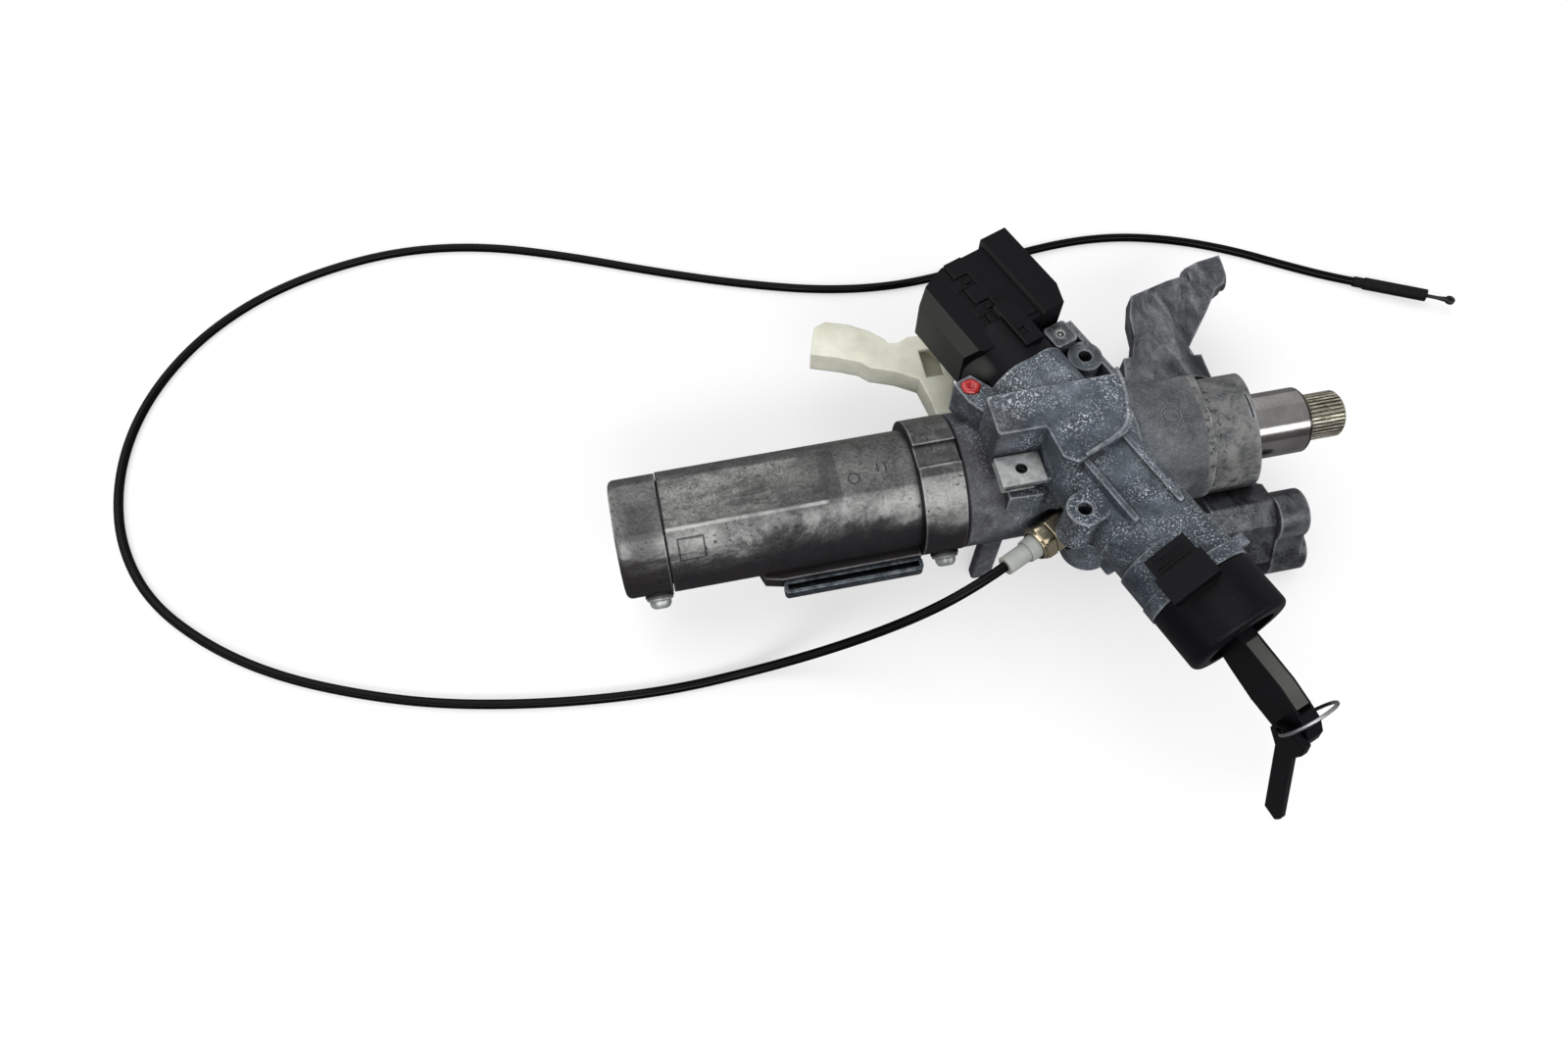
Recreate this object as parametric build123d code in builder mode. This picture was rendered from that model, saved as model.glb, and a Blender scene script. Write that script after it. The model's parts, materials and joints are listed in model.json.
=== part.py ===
from build123d import *
import math
import os

# Steering lock assembly with its electrical ignition switch, millimetres.
# +X runs along the steering spindle towards the splined wheel end, +Z is up, and the
# origin is the centre of the splined tip. The assembly lies on a bench at bench_z.

# General clearances
fit_gap = 0.03
running_gap = 0.05
air_gap = 0.3

# Bench and spindle
bench_z = -42.0
spline_r = 8.85
spline_root_r = 8.15
spline_teeth = 36
spline_length = 15.4
spline_tooth_gap = 0.9
wheel_thread_r = 5.1
wheel_thread_depth = 20.0
seat_r = 12.5
seat_back_x = -45.0
seat_chamfer = 0.9
shaft_r = 9.0

# Upper roller bearing and its circlip
bearing_x = -54.0
bearing_width = 9.0
roller_ring_r = 14.25
roller_r = 1.9
race_wall = 2.35
bearing_outer_r = roller_ring_r + roller_r + race_wall
race_seat_r = roller_ring_r - roller_r - race_wall
roller_length = 6.4
roller_count = 12
race_lip = 1.0
circlip_thickness = 1.4
circlip_inside = 1.9
circlip_outside = 1.0
circlip_inner_r = bearing_outer_r - circlip_inside
circlip_outer_r = bearing_outer_r + circlip_outside
circlip_opening = 14.0

# Column jacket, end ring and bush
jacket_r = 22.0
jacket_wall = 3.0
jacket_end_x = -259.0
shaft_past_jacket = 11.0
shaft_end_x = jacket_end_x - shaft_past_jacket
seam_x = -152.0
collar_length = 16.0
collar_x = seam_x - collar_length
collar_r = 25.2
seam_gap = 0.35
flat_z = 19.7
flat_end_x = -196.6
flat_ramp = 5.0
collar_flat_z = 23.6
collar_flat_width = 9.0
end_ring_r = 21.7
end_ring_length = 17.0
end_ring_round = 2.2
end_flat_z = 18.6
spigot_length = 9.0
bush_r = 15.0
bush_length = 10.0
bush_inset = 2.3

# Clamp screws that point down and forward from the jacket
clamp_angle = 208.0
clamp_end_inset = 5.8
clamp_inset = 9.2
clamp_x = (jacket_end_x - clamp_end_inset, collar_x + clamp_inset)
clamp_screw_r = 2.5
clamp_screw_length = 7.0
clamp_head_r = 4.9
clamp_head_height = 4.2
clamp_seat = 1.2
clamp_seat_rim = 0.3

# Guide channel on its ledge
rail_x0 = -220.0
rail_end_gap = 0.5
rail_x1 = collar_x - rail_end_gap
rail_depth = 5.0
rail_height = 4.6
rail_sheet = 1.3
rail_y = -24.5
rail_top_z = -7.5
ledge_rise = 1.5
ledge_ramp = 9.0

# Lock housing along the spindle
housing_r = 25.0
housing_bore_r = 15.8
housing_spigot_length = 20.0
block_x = -89.0
block_r = 22.8
block_flat_y0 = -7.0
block_flat_y1 = 15.0
block_corner = 2.0
boss_x = -59.0
boss_end_x = -37.0
boss_end_slope = 0.19
boss_wall = 2.9
boss_r = bearing_outer_r + boss_wall
shoulder_depth = 4.5
shoulder_r = bearing_outer_r - shoulder_depth
crimp_slot = (-42.8, -2.0)
crimp_slot_width = 0.6
crimp_slot_length = 10.2
crimp_slot_z = 19.7
ring_mark = (-73.0, -1.2)
ring_mark_r = 3.3
ring_mark_line = 0.6
ring_mark_depth = 0.3
leg_from_seam = 12.0
leg_x = seam_x + leg_from_seam
leg_y = 20.0
leg_length = 8.0
leg_thickness = 5.0
leg_top = -12.0
leg_corner = 1.2

# Lock axis: level, crossing over the spindle
lock_angle = -69.5
lock_x = -115.0
lock_z = 26.0
barrel_r = 17.5
barrel_front = 69.0
barrel_back = -22.0
barrel_flat = 16.0
ridge_height = 1.4
ridge_width = 2.2
ridge_start = 18.0
ridge_ends = ((-10.5, 48.0), (6.8, 50.0))
ridge_root = 8.0
rim_r = 18.8
rim_front = 74.0
cylinder_r = 12.0
cylinder_front = 73.0
cylinder_back = 28.0
plug_r = 8.0
plug_front = 74.0
plug_back = 32.0
keyway_width = 2.6
keyway_height = 8.8
keyway_back = 39.0
wafer_count = 6
wafer_pitch = 4.8
wafer_first = 44.0
wafer_thickness = 1.2
wafer_width = 6.0
wafer_height = 14.2
wafer_gap = 0.08
rod_r = 3.6
rod_back = -37.0
rod_bore_r = 5.4
cam_r = 3.8
cam_offset = 0.8
cam_length = 7.0

# Raised pad over the crossing
pad_top = 45.0
pad_bottom = 10.0

# Lock bolt and slotted ring
bolt_throw = 3.0
lock_ring_r = 14.0
lock_ring_root_r = 10.2
lock_ring_slots = 8
lock_ring_slot = 5.2
lock_ring_length = 13.0
bolt_tip_length = 10.0
bolt_tip_width = 4.4
bolt_half_x = 9.2
bolt_half_y = 4.0
bolt_tip_gap = 0.7
bolt_tip_height = 4.0
bolt_bar = 2.2
bolt_opening_half_x = 7.0
bolt_roof_z = 43.0
bolt_spring_r = 2.6
bolt_spring_wire = 0.7

# Fixing bosses and lugs, all with upright axes
boss_hole_r = 2.5
boss_wall_r = 6.3
boss_hole_depth = 15.0
back_boss = (-17.6, 24.2)
back_boss_top = 30.0
back_pocket_z = 20.0
back_wall_side = 27.5
back_wall_along = -18.0
back_wall_length = 30.0
back_wall_thickness = 2.2
front_boss = (33.7, -18.6)
front_boss_top = 36.5
plain_lug = (-28.2, 20.2)
lug_top = 34.0
red_lug = (-26.7, -21.0)
lug_screw_r = 2.0
lug_screw_length = 12.0

# Tab with the clip nut
tab_x0 = -141.8
tab_x1 = -104.0
tab_y0 = -21.0
tab_top = 29.5
tab_thickness = 2.6
clip_x0 = -143.0
clip_x1 = -127.2
clip_y0 = -21.8
clip_y1 = -10.2
clip_sheet = 0.9
clip_leaf_short = 4.0
clip_hole_r = 2.1
clip_hole_x = -134.8
clip_hole_y = -15.8

# Ears at the right front, arm at the right back
ear_x0 = -33.0
ear_x1 = -21.5
ear_web_x = -58.0
ear_high = (-31.0, -15.6, 9.2)
ear_low = (-37.3, -32.8, 9.2)
ear_low_x1 = -18.5
ear_hole_r = 3.4
arm_top = -9.0
arm_thickness = 8.0
arm_end_x0 = -26.0
arm_end_x1 = -10.5
arm_end_y = 80.0
arm_end_z = -13.6
arm_end_r = 5.6

# Aerial ring at the front of the lock
aerial_r = 18.4
aerial_back = rim_front + air_gap
aerial_length = 20.2
aerial_front = aerial_back + aerial_length
aerial_tunnel_r = 12.6
aerial_lean = 30.0
coil_inner_r = 14.4
coil_outer_r = 16.2
coil_length = 8.0
coil_cover = 6.5
coil_front = aerial_front - coil_cover

# Key
key_thickness = 2.2
key_height = 8.2
key_tip = 41.0
key_head_start = 79.0
key_head_thickness = 6.6
key_tang = 9.0
key_hole_r = 2.6
key_hole = (123.9, -11.0)
key_band_width = 5.0
transponder_r = 1.5
transponder_length = 12.0
wire_ring_r = 9.9
wire_ring_wire = 0.6
wire_ring_lean = 12.0
spare_thickness = 2.6

# Electrical switch
drum_r = 16.5
drum_front = -22.0
drum_back = -41.0
switch_front = -33.0
switch_back = -71.5
switch_left = -17.0
switch_split = -2.0
switch_floor = 20.0
switch_top = 41.0
band_side = 5.5
band_rise = 0.8
band_end = (-38.6, -37.2, 8.8, 15.0)
ridge_rise = 1.8
case_wall = 2.0
rotor_r = 9.0
rotor_front = -19.0
rotor_back = -39.5
terminal_count = 6
terminal_pitch = 4.4
terminal_row_gap = 4.0
terminal_width = 2.2
terminal_sheet = 0.8
terminal_inset = 2.0
chamber_z0 = 31.0
chamber_z1 = 38.5
chamber_shift = 3.0

# Interlock cable
cable_r = 1.85
cable_angle = 204.5
nut_seat = (-116.4, -27.6, 5.0)
nut_flats = 12.0
nut_length = 10.5
nut_spigot_r = 5.0
nut_spigot_length = 8.0
wire_bore_r = 1.6
sleeve_r = 5.0
sleeve_taper = 5.0
sleeve_length = 9.5
sleeve_step_r = 3.5
sleeve_step_length = 9.5
pin_r = 1.5
pin_length = 16.0
wire_r = 0.6
end_sleeve_r = 2.7
end_sleeve_length = 26.5
end_sleeve_neck = 4.5
end_sleeve_neck_r = 2.3

# White harness duct
duct_bottom = -9.0
duct_top = 1.0
duct_wall = 1.5

# Outlines seen from above or along an axis, as pairs of distances
pad_corner = 1.4
pad_outline = (
    (-143.5, 5.8),
    (-96.6, 6.4),
    (-94.6, 3.8),
    (-97.2, -11.5),
    (-100.8, -16.8),
    (-120.6, -25.0),
    (-124.8, -21.8),
    (-126.2, -13.2),
    (-126.6, -9.5),
    (-143.5, -9.4),
)
rim_lug = (11.0, 20.5, 8.0, 3.6)
rim_lug_back = 67.5
rim_lug_front = 71.5
back_body_outline = ((-33.0, 12.0), (-33.0, 29.7), (-3.0, 29.7), (-3.0, 10.0))
back_body_bottom = 9.0
red_lug_outline = (
    (-30.9, -25.2),
    (-30.9, -18.2),
    (-21.9, -14.5),
    (-12.0, -10.0),
    (-12.0, -22.0),
    (-22.0, -25.2),
)
tab_support_outline = ((-124.0, -5.0), (-124.0, -19.0), (-104.0, -20.5), (-104.0, -5.0))
tab_ledge_outline = ((-139.0, -10.0), (-139.0, -22.0), (-127.0, -22.5), (-121.0, -19.0), (-121.0, -10.0))
tab_ledge_top = 21.0
lug_bottom = 18.0
lug_r = 4.7
front_boss_bottom = 19.0
barrel_lug = (45.0, 50.0)
barrel_lug_side = -10.0
barrel_lug_z = 7.5
barrel_collar_r = 18.3
barrel_collar_start = 57.0
nut_boss_r = 8.6
nut_boss_depth = 22.0
nut_spot_r = 8.2
lobe_x = -109.0
lobe_y = -33.0
lobe_r = 9.5
lobe_bottom = -7.0
lobe_top = 12.0
ear_plate_outline = ((-37.5, -13.0), (-45.0, -28.0), (-29.4, -36.0), (-21.4, -19.0))
ear_web_outline = (
    (-12.0, -14.0),
    (-19.0, -10.5),
    (-28.0, -7.5),
    (-36.0, -12.5),
    (-44.0, -28.0),
    (-41.0, -36.0),
    (-30.0, -36.0),
    (-12.0, -20.0),
)
ear_hole_depth = 9.0
arm_outline = (
    (-34.9, 18.0),
    (-34.9, 41.4),
    (-40.1, 41.9),
    (-38.2, 46.0),
    (-25.3, 61.0),
    (-17.0, 71.7),
    (-12.6, 74.0),
    (-9.7, 81.4),
    (-9.3, 88.3),
    (-19.9, 86.7),
    (-26.5, 84.2),
    (-29.6, 80.6),
    (-35.5, 79.7),
    (-53.0, 75.0),
    (-57.0, 64.8),
    (-58.4, 55.0),
    (-62.5, 45.5),
    (-66.2, 45.7),
    (-68.7, 36.0),
    (-68.7, 18.0),
)
arm_crest_base = (
    (-65.0, 30.0),
    (-62.5, 44.0),
    (-57.8, 56.0),
    (-53.0, 67.0),
    (-44.0, 77.0),
    (-30.0, 79.5),
    (-19.5, 75.0),
    (-29.5, 59.0),
    (-38.5, 46.0),
    (-36.0, 30.0),
)
arm_crest_top = (
    (-60.0, 30.0),
    (-57.5, 45.0),
    (-52.5, 56.5),
    (-46.5, 68.0),
    (-43.0, 74.5),
    (-40.5, 75.5),
    (-41.5, 70.0),
    (-44.5, 60.0),
    (-45.2, 50.0),
    (-42.5, 30.0),
)
arm_crest_height = 3.2
drum_clearance = 22.0
collar_room = 8.0
clip_room = 8.0
clip_pocket_r = 4.0
clip_pocket_depth = 6.0
rotor_recess_r = 11.0
rotor_recess = 6.0
pin_bore_depth = 22.0
bolt_clearance = 0.4
bolt_spring_turns = 4
rod_square = 4.8
pin_along = 36.0
sleeve_pin_r = 1.5
sleeve_pin_length = 7.5
pin_start_gap = 0.5
aerial_round = 2.4
connector_back = 61.0
connector_step = 68.0
connector_front = 77.5
connector_half = 7.6
connector_height = 6.5
socket_depth = 9.0
aerial_terminal_pitch = 3.8
key_head_outline = (
    (79.0, 3.6),
    (92.0, 4.6),
    (100.0, 3.8),
    (114.0, 3.0),
    (122.0, 1.0),
    (128.0, -1.0),
    (131.2, -5.0),
    (132.0, -10.0),
    (129.0, -14.2),
    (122.0, -16.4),
    (110.0, -15.8),
    (100.0, -13.4),
    (92.0, -11.0),
    (79.0, -8.5),
)
key_band_outline = (
    (97.0, 4.1),
    (100.0, 3.8),
    (114.0, 3.0),
    (122.0, 1.0),
    (124.0, 0.3333),
    (124.0, -1.3),
    (114.0, 1.2),
    (97.0, 2.4),
)
transponder_along = 92.0
transponder_up = -7.5
spare_side = -5.0
spare_hole_r = 1.8
spare_outline = (
    (121.2, -8.6),
    (126.5, -4.2),
    (132.6, -3.8),
    (133.7, -9.0),
    (132.4, -15.5),
    (145.6, -49.4),
    (144.8, -53.0),
    (139.2, -52.0),
    (126.0, -17.5),
    (121.0, -12.5),
)
case_outline = (
    (-71.5, -2.3),
    (-71.2, -3.5),
    (-67.5, -12.5),
    (-64.5, -17.0),
    (-37.0, -17.0),
    (-33.0, -11.0),
    (-33.0, -2.3),
)
cover_outline = (
    (-71.5, -2.0),
    (-38.6, -2.0),
    (-38.6, 1.4),
    (-30.0, 1.4),
    (-30.0, 5.5),
    (-35.0, 8.0),
    (-35.0, 16.5),
    (-71.5, 16.5),
)
tongue_spans = ((-63.8, -58.8), (-50.7, -45.7))
tongue_root = -5.0
tongue_side = 3.2
tongue_depth = 2.1
tongue_rise = 0.4
latch_side = 1.3
latch_size = 2.2
latch_room = 2.7
front_strip = (-46.0, -26.0, 1.4, 8.9)
front_strip_rise = 2.8
front_latch = (-31.7, 4.0)
ridge_outline = ((-73.6, 16.0), (-73.6, 27.3), (-42.6, 27.5), (-34.5, 24.5), (-34.5, 16.0))
switch_bevel = 4.0
switch_bevel_z = 36.0
socket_along = -57.0
socket_side = -8.0
socket_length = 16.0
socket_width = 9.0
seal_r = 3.6
seal_height = 1.2
pin_start = 6.0
cable_straight = 15.0
cable_bend_share = 0.45
cable_bends = ((-177.0, -48.2, -7.0), (-202.7, -45.7, -27.0))
cable_bench = (
    (-234.0, -44.0),
    (-270.0, -45.5),
    (-310.0, -42.0),
    (-350.0, -34.5),
    (-382.0, -24.0),
    (-413.0, -10.0),
    (-439.0, 8.0),
    (-461.0, 31.0),
    (-473.0, 58.0),
    (-476.0, 86.0),
    (-471.5, 113.0),
    (-460.0, 137.0),
    (-442.0, 158.0),
    (-417.0, 174.5),
    (-386.0, 184.5),
    (-353.0, 188.0),
    (-318.0, 183.0),
    (-282.0, 170.0),
    (-244.0, 153.0),
    (-206.0, 138.0),
    (-168.0, 126.5),
    (-132.0, 123.0),
    (-96.0, 128.0),
    (-62.0, 132.5),
    (-34.0, 131.5),
    (-8.0, 124.5),
    (16.0, 113.5),
    (38.0, 99.5),
    (54.0, 90.0),
)
cable_end = (63.5, 84.5, -39.3)
wire_inside = 12.0
wire_outside = 8.0
eyelet_r = 2.1
duct_outline = (
    (-191.0, 65.8),
    (-187.0, 77.9),
    (-182.0, 79.8),
    (-173.6, 76.8),
    (-166.3, 72.3),
    (-161.2, 67.3),
    (-159.7, 64.7),
    (-155.5, 64.3),
    (-151.6, 66.3),
    (-144.3, 65.3),
    (-137.0, 57.5),
    (-139.0, 42.0),
    (-142.5, 33.0),
    (-142.5, 25.7),
    (-149.5, 25.9),
    (-150.0, 34.6),
    (-152.0, 46.0),
    (-160.0, 51.1),
    (-169.5, 54.9),
    (-172.8, 58.4),
    (-179.6, 61.6),
)
duct_window = (-145.5, 52.5)
duct_window_x = 7.0
duct_window_y = 13.0
duct_mouth = ((-193.0, 67.2), (-189.0, 78.5), (-184.5, 77.5), (-187.5, 66.0))

lock_dx = math.cos(math.radians(lock_angle))
lock_dy = math.sin(math.radians(lock_angle))
clamp_dir = (0, math.cos(math.radians(clamp_angle)), math.sin(math.radians(clamp_angle)))
cable_dir = (math.cos(math.radians(cable_angle)), math.sin(math.radians(cable_angle)), 0)


def across(x):
    """Plane square to the spindle at x, with local x along +Y and local y along +Z."""
    return Plane(origin=(x, 0, 0), x_dir=(0, 1, 0), z_dir=(1, 0, 0))


def lock_point(along, side, up=0.0):
    """Point given by its distances along the lock axis, to its side and above it."""
    x = lock_x + along * lock_dx - side * lock_dy
    y = along * lock_dy + side * lock_dx
    return (x, y, lock_z + up)


def lock_at(along, side=0.0, up=0.0, lean=0.0):
    """Plane square to the lock axis, with local x to its side and local y up, turned by lean."""
    level = math.cos(math.radians(lean))
    x_dir = (-lock_dy * level, lock_dx * level, math.sin(math.radians(lean)))
    return Plane(origin=lock_point(along, side, up), x_dir=x_dir, z_dir=(lock_dx, lock_dy, 0))


def lock_level(z):
    """Level plane at z, with local x along the lock axis and local y to its side."""
    return Plane(origin=(lock_x, 0, z), x_dir=(lock_dx, lock_dy, 0), z_dir=(0, 0, 1))


def lock_upright(side=0.0):
    """Upright plane along the lock axis, with local x along it and local y up."""
    return Plane(origin=lock_point(0, side), x_dir=(lock_dx, lock_dy, 0), z_dir=(lock_dy, -lock_dx, 0))


def clamp_plane(x, r):
    """Plane square to the clamp screw at x, at distance r from the spindle axis."""
    return Plane(origin=(x, r * clamp_dir[1], r * clamp_dir[2]), x_dir=(1, 0, 0), z_dir=clamp_dir)


def cable_plane(along):
    """Plane square to the interlock cable's exit, at a distance outward from the nut's seat."""
    origin = tuple(nut_seat[i] + along * cable_dir[i] for i in range(3))
    return Plane(origin=origin, x_dir=(0, 0, 1), z_dir=cable_dir)


def save(part, name):
    """Label one finished sub-part and write it."""
    part.label = name
    export_step(part, f"parts/{name}.step")


os.makedirs("parts", exist_ok=True)

# Spindle: splined tip, bearing seat and plain shaft, turned from one bar
with BuildPart() as spindle:
    with BuildSketch(Plane.XZ):
        Polygon(
            (0, 0),
            (0, spline_r - seat_chamfer),
            (-seat_chamfer, spline_r),
            (-spline_length, spline_r),
            (-spline_length, seat_r - seat_chamfer),
            (-spline_length - seat_chamfer, seat_r),
            (seat_back_x, seat_r),
            (seat_back_x, race_seat_r),
            (bearing_x - 2, race_seat_r),
            (bearing_x - 3, shaft_r),
            (shaft_end_x + seat_chamfer, shaft_r),
            (shaft_end_x, shaft_r - seat_chamfer),
            (shaft_end_x, 0),
            align=None,
        )
    revolve(axis=Axis.X)
    groove_depth = spline_r - spline_root_r
    with BuildSketch(across(-spline_length)):
        with PolarLocations(spline_r, spline_teeth):
            Polygon(
                (-groove_depth, -spline_tooth_gap / 4),
                (groove_depth, -spline_tooth_gap * 0.7),
                (groove_depth, spline_tooth_gap * 0.7),
                (-groove_depth, spline_tooth_gap / 4),
                align=None,
            )
    extrude(amount=spline_length + 1, mode=Mode.SUBTRACT)
    with BuildSketch(across(0)):
        Circle(wheel_thread_r)
    extrude(amount=-wheel_thread_depth, mode=Mode.SUBTRACT)
save(spindle.part, "spindle")

# Slotted ring on the spindle that the lock bolt drops into
with BuildPart() as lock_ring:
    with BuildSketch(across(lock_x - lock_ring_length / 2)):
        Circle(lock_ring_r)
        with PolarLocations(lock_ring_r, lock_ring_slots, start_angle=90):
            Rectangle(2 * (lock_ring_r - lock_ring_root_r), lock_ring_slot, mode=Mode.SUBTRACT)
        Circle(shaft_r + fit_gap, mode=Mode.SUBTRACT)
    extrude(amount=lock_ring_length)
save(lock_ring.part, "lock_ring")

# Upper bearing: inner race, outer race and rollers
race_end_x = bearing_x + bearing_width
roller_x = bearing_x + bearing_width / 2
track_half = roller_length / 2 + running_gap
with BuildPart() as bearing_outer_race:
    with BuildSketch(Plane.XZ):
        Polygon(
            (bearing_x, bearing_outer_r - fit_gap),
            (race_end_x, bearing_outer_r - fit_gap),
            (race_end_x, roller_ring_r + race_lip),
            (roller_x + track_half, roller_ring_r + race_lip),
            (roller_x + track_half, roller_ring_r + roller_r + running_gap),
            (roller_x - track_half, roller_ring_r + roller_r + running_gap),
            (roller_x - track_half, roller_ring_r + race_lip),
            (bearing_x, roller_ring_r + race_lip),
            align=None,
        )
    revolve(axis=Axis.X)
save(bearing_outer_race.part, "bearing_outer_race")

with BuildPart() as bearing_inner_race:
    with BuildSketch(Plane.XZ):
        Polygon(
            (bearing_x, race_seat_r + fit_gap),
            (race_end_x, race_seat_r + fit_gap),
            (race_end_x, roller_ring_r - race_lip),
            (roller_x + track_half, roller_ring_r - race_lip),
            (roller_x + track_half, roller_ring_r - roller_r - running_gap),
            (roller_x - track_half, roller_ring_r - roller_r - running_gap),
            (roller_x - track_half, roller_ring_r - race_lip),
            (bearing_x, roller_ring_r - race_lip),
            align=None,
        )
    revolve(axis=Axis.X)
save(bearing_inner_race.part, "bearing_inner_race")

with BuildPart() as bearing_rollers:
    with BuildSketch(across(roller_x - roller_length / 2)):
        with PolarLocations(roller_ring_r, roller_count):
            Circle(roller_r)
    extrude(amount=roller_length)
save(bearing_rollers.part, "bearing_rollers")

with BuildPart() as bearing_circlip:
    with BuildSketch(across(race_end_x + running_gap)):
        Circle(circlip_outer_r - fit_gap)
        Circle(circlip_inner_r, mode=Mode.SUBTRACT)
        with Locations((0, -circlip_outer_r)):
            Rectangle(circlip_opening, 4 * (circlip_outer_r - circlip_inner_r), mode=Mode.SUBTRACT)
    extrude(amount=circlip_thickness)
save(bearing_circlip.part, "bearing_circlip")

# Column jacket: one casting with a wider collar at the housing
jacket_bore_r = jacket_r - jacket_wall
rail_bottom_z = rail_top_z - rail_height
with BuildPart() as column_jacket:
    with BuildSketch(across(jacket_end_x)):
        Circle(jacket_r)
    extrude(amount=collar_x - jacket_end_x)
    with BuildSketch(across(collar_x)):
        Circle(collar_r)
    extrude(amount=seam_x - seam_gap - collar_x)
    # ledge under the front, which carries the guide channel
    with BuildSketch(Plane.XY.offset(rail_bottom_z)):
        Polygon(
            (rail_x0 - ledge_ramp, -jacket_bore_r + 4),
            (rail_x0 - ledge_ramp * 0.7, rail_y + 1.5),
            (rail_x0, rail_y),
            (rail_x1, rail_y),
            (rail_x1, -jacket_bore_r + 4),
            align=None,
        )
    extrude(amount=rail_height + ledge_rise)
    # spot face under the clamp screw head
    with BuildSketch(clamp_plane(clamp_x[1], 0)):
        Circle(clamp_head_r + clamp_seat_rim)
    extrude(amount=collar_r + clamp_seat)
    # flat on top, with a ramp at its right end
    with BuildSketch(Plane.XZ):
        Polygon(
            (jacket_end_x - 1, flat_z),
            (flat_end_x - flat_ramp, flat_z),
            (flat_end_x, jacket_r + 1),
            (jacket_end_x - 1, jacket_r + 1),
            align=None,
        )
    extrude(amount=jacket_r, both=True, mode=Mode.SUBTRACT)
    # shallow flat across the collar
    with BuildSketch(Plane.XY.offset(collar_flat_z)):
        with Locations(((collar_x + seam_x) / 2, -1.0)):
            Rectangle(seam_x - collar_x + 2, collar_flat_width)
    extrude(amount=5, mode=Mode.SUBTRACT)
    with BuildSketch(across(jacket_end_x - 1)):
        Circle(jacket_bore_r)
    extrude(amount=seam_x - jacket_end_x + 2, mode=Mode.SUBTRACT)
    with BuildSketch(clamp_plane(clamp_x[1], 0)):
        Circle(clamp_screw_r + running_gap)
    extrude(amount=collar_r + 5, mode=Mode.SUBTRACT)
save(column_jacket.part, "column_jacket")

# End ring, plugged into the jacket's left end
ring_x1 = jacket_end_x - seam_gap
ring_x0 = ring_x1 - end_ring_length
with BuildPart() as end_ring:
    with BuildSketch(across(ring_x0)):
        Circle(end_ring_r)
    extrude(amount=end_ring_length)
    fillet(end_ring.edges().group_by(Axis.X)[0], end_ring_round)
    with BuildSketch(across(ring_x1)):
        Circle(jacket_bore_r - fit_gap)
    extrude(amount=seam_gap + spigot_length)
    with BuildSketch(clamp_plane(clamp_x[0], 0)):
        Circle(clamp_head_r + clamp_seat_rim)
    extrude(amount=end_ring_r + clamp_seat)
    with BuildSketch(Plane.XZ):
        Polygon(
            (ring_x0 - 1, end_flat_z),
            (ring_x1, end_flat_z),
            (ring_x1, end_ring_r + 1),
            (ring_x0 - 1, end_ring_r + 1),
            align=None,
        )
    extrude(amount=end_ring_r, both=True, mode=Mode.SUBTRACT)
    with BuildSketch(across(ring_x0 - 1)):
        Circle(bush_r)
    extrude(amount=end_ring_length + spigot_length + 3, mode=Mode.SUBTRACT)
    with BuildSketch(clamp_plane(clamp_x[0], 0)):
        Circle(clamp_screw_r + running_gap)
    extrude(amount=end_ring_r + 5, mode=Mode.SUBTRACT)
save(end_ring.part, "end_ring")

with BuildPart() as lower_bush:
    with BuildSketch(across(ring_x0 + bush_inset)):
        Circle(bush_r - fit_gap)
        Circle(shaft_r + running_gap, mode=Mode.SUBTRACT)
    extrude(amount=bush_length)
save(lower_bush.part, "lower_bush")

# Two domed screws clamp the end ring and the collar
with BuildPart() as clamp_screws:
    for x, r in zip(clamp_x, (end_ring_r, collar_r)):
        with BuildSketch(clamp_plane(x, r + clamp_seat)):
            Circle(clamp_head_r)
        extrude(amount=clamp_head_height, taper=28)
        with BuildSketch(clamp_plane(x, r + clamp_seat)):
            Circle(clamp_screw_r)
        extrude(amount=-clamp_screw_length)
save(clamp_screws.part, "clamp_screws")

# Guide channel: folded steel trough, open at the top, seated on the ledge's front face
with BuildPart() as guide_channel:
    with BuildSketch(Plane.XY.offset(rail_bottom_z)):
        with Locations(((rail_x0 + rail_x1) / 2, rail_y - rail_depth / 2)):
            RectangleRounded(rail_x1 - rail_x0, rail_depth, 1.6)
    extrude(amount=rail_height)
    with BuildSketch(Plane.XY.offset(rail_bottom_z + rail_sheet)):
        with Locations(((rail_x0 + rail_x1) / 2, rail_y - rail_depth / 2)):
            Rectangle(rail_x1 - rail_x0 - 2 * rail_sheet, rail_depth - 2 * rail_sheet)
    extrude(amount=rail_height, mode=Mode.SUBTRACT)
save(guide_channel.part, "guide_channel")

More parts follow.
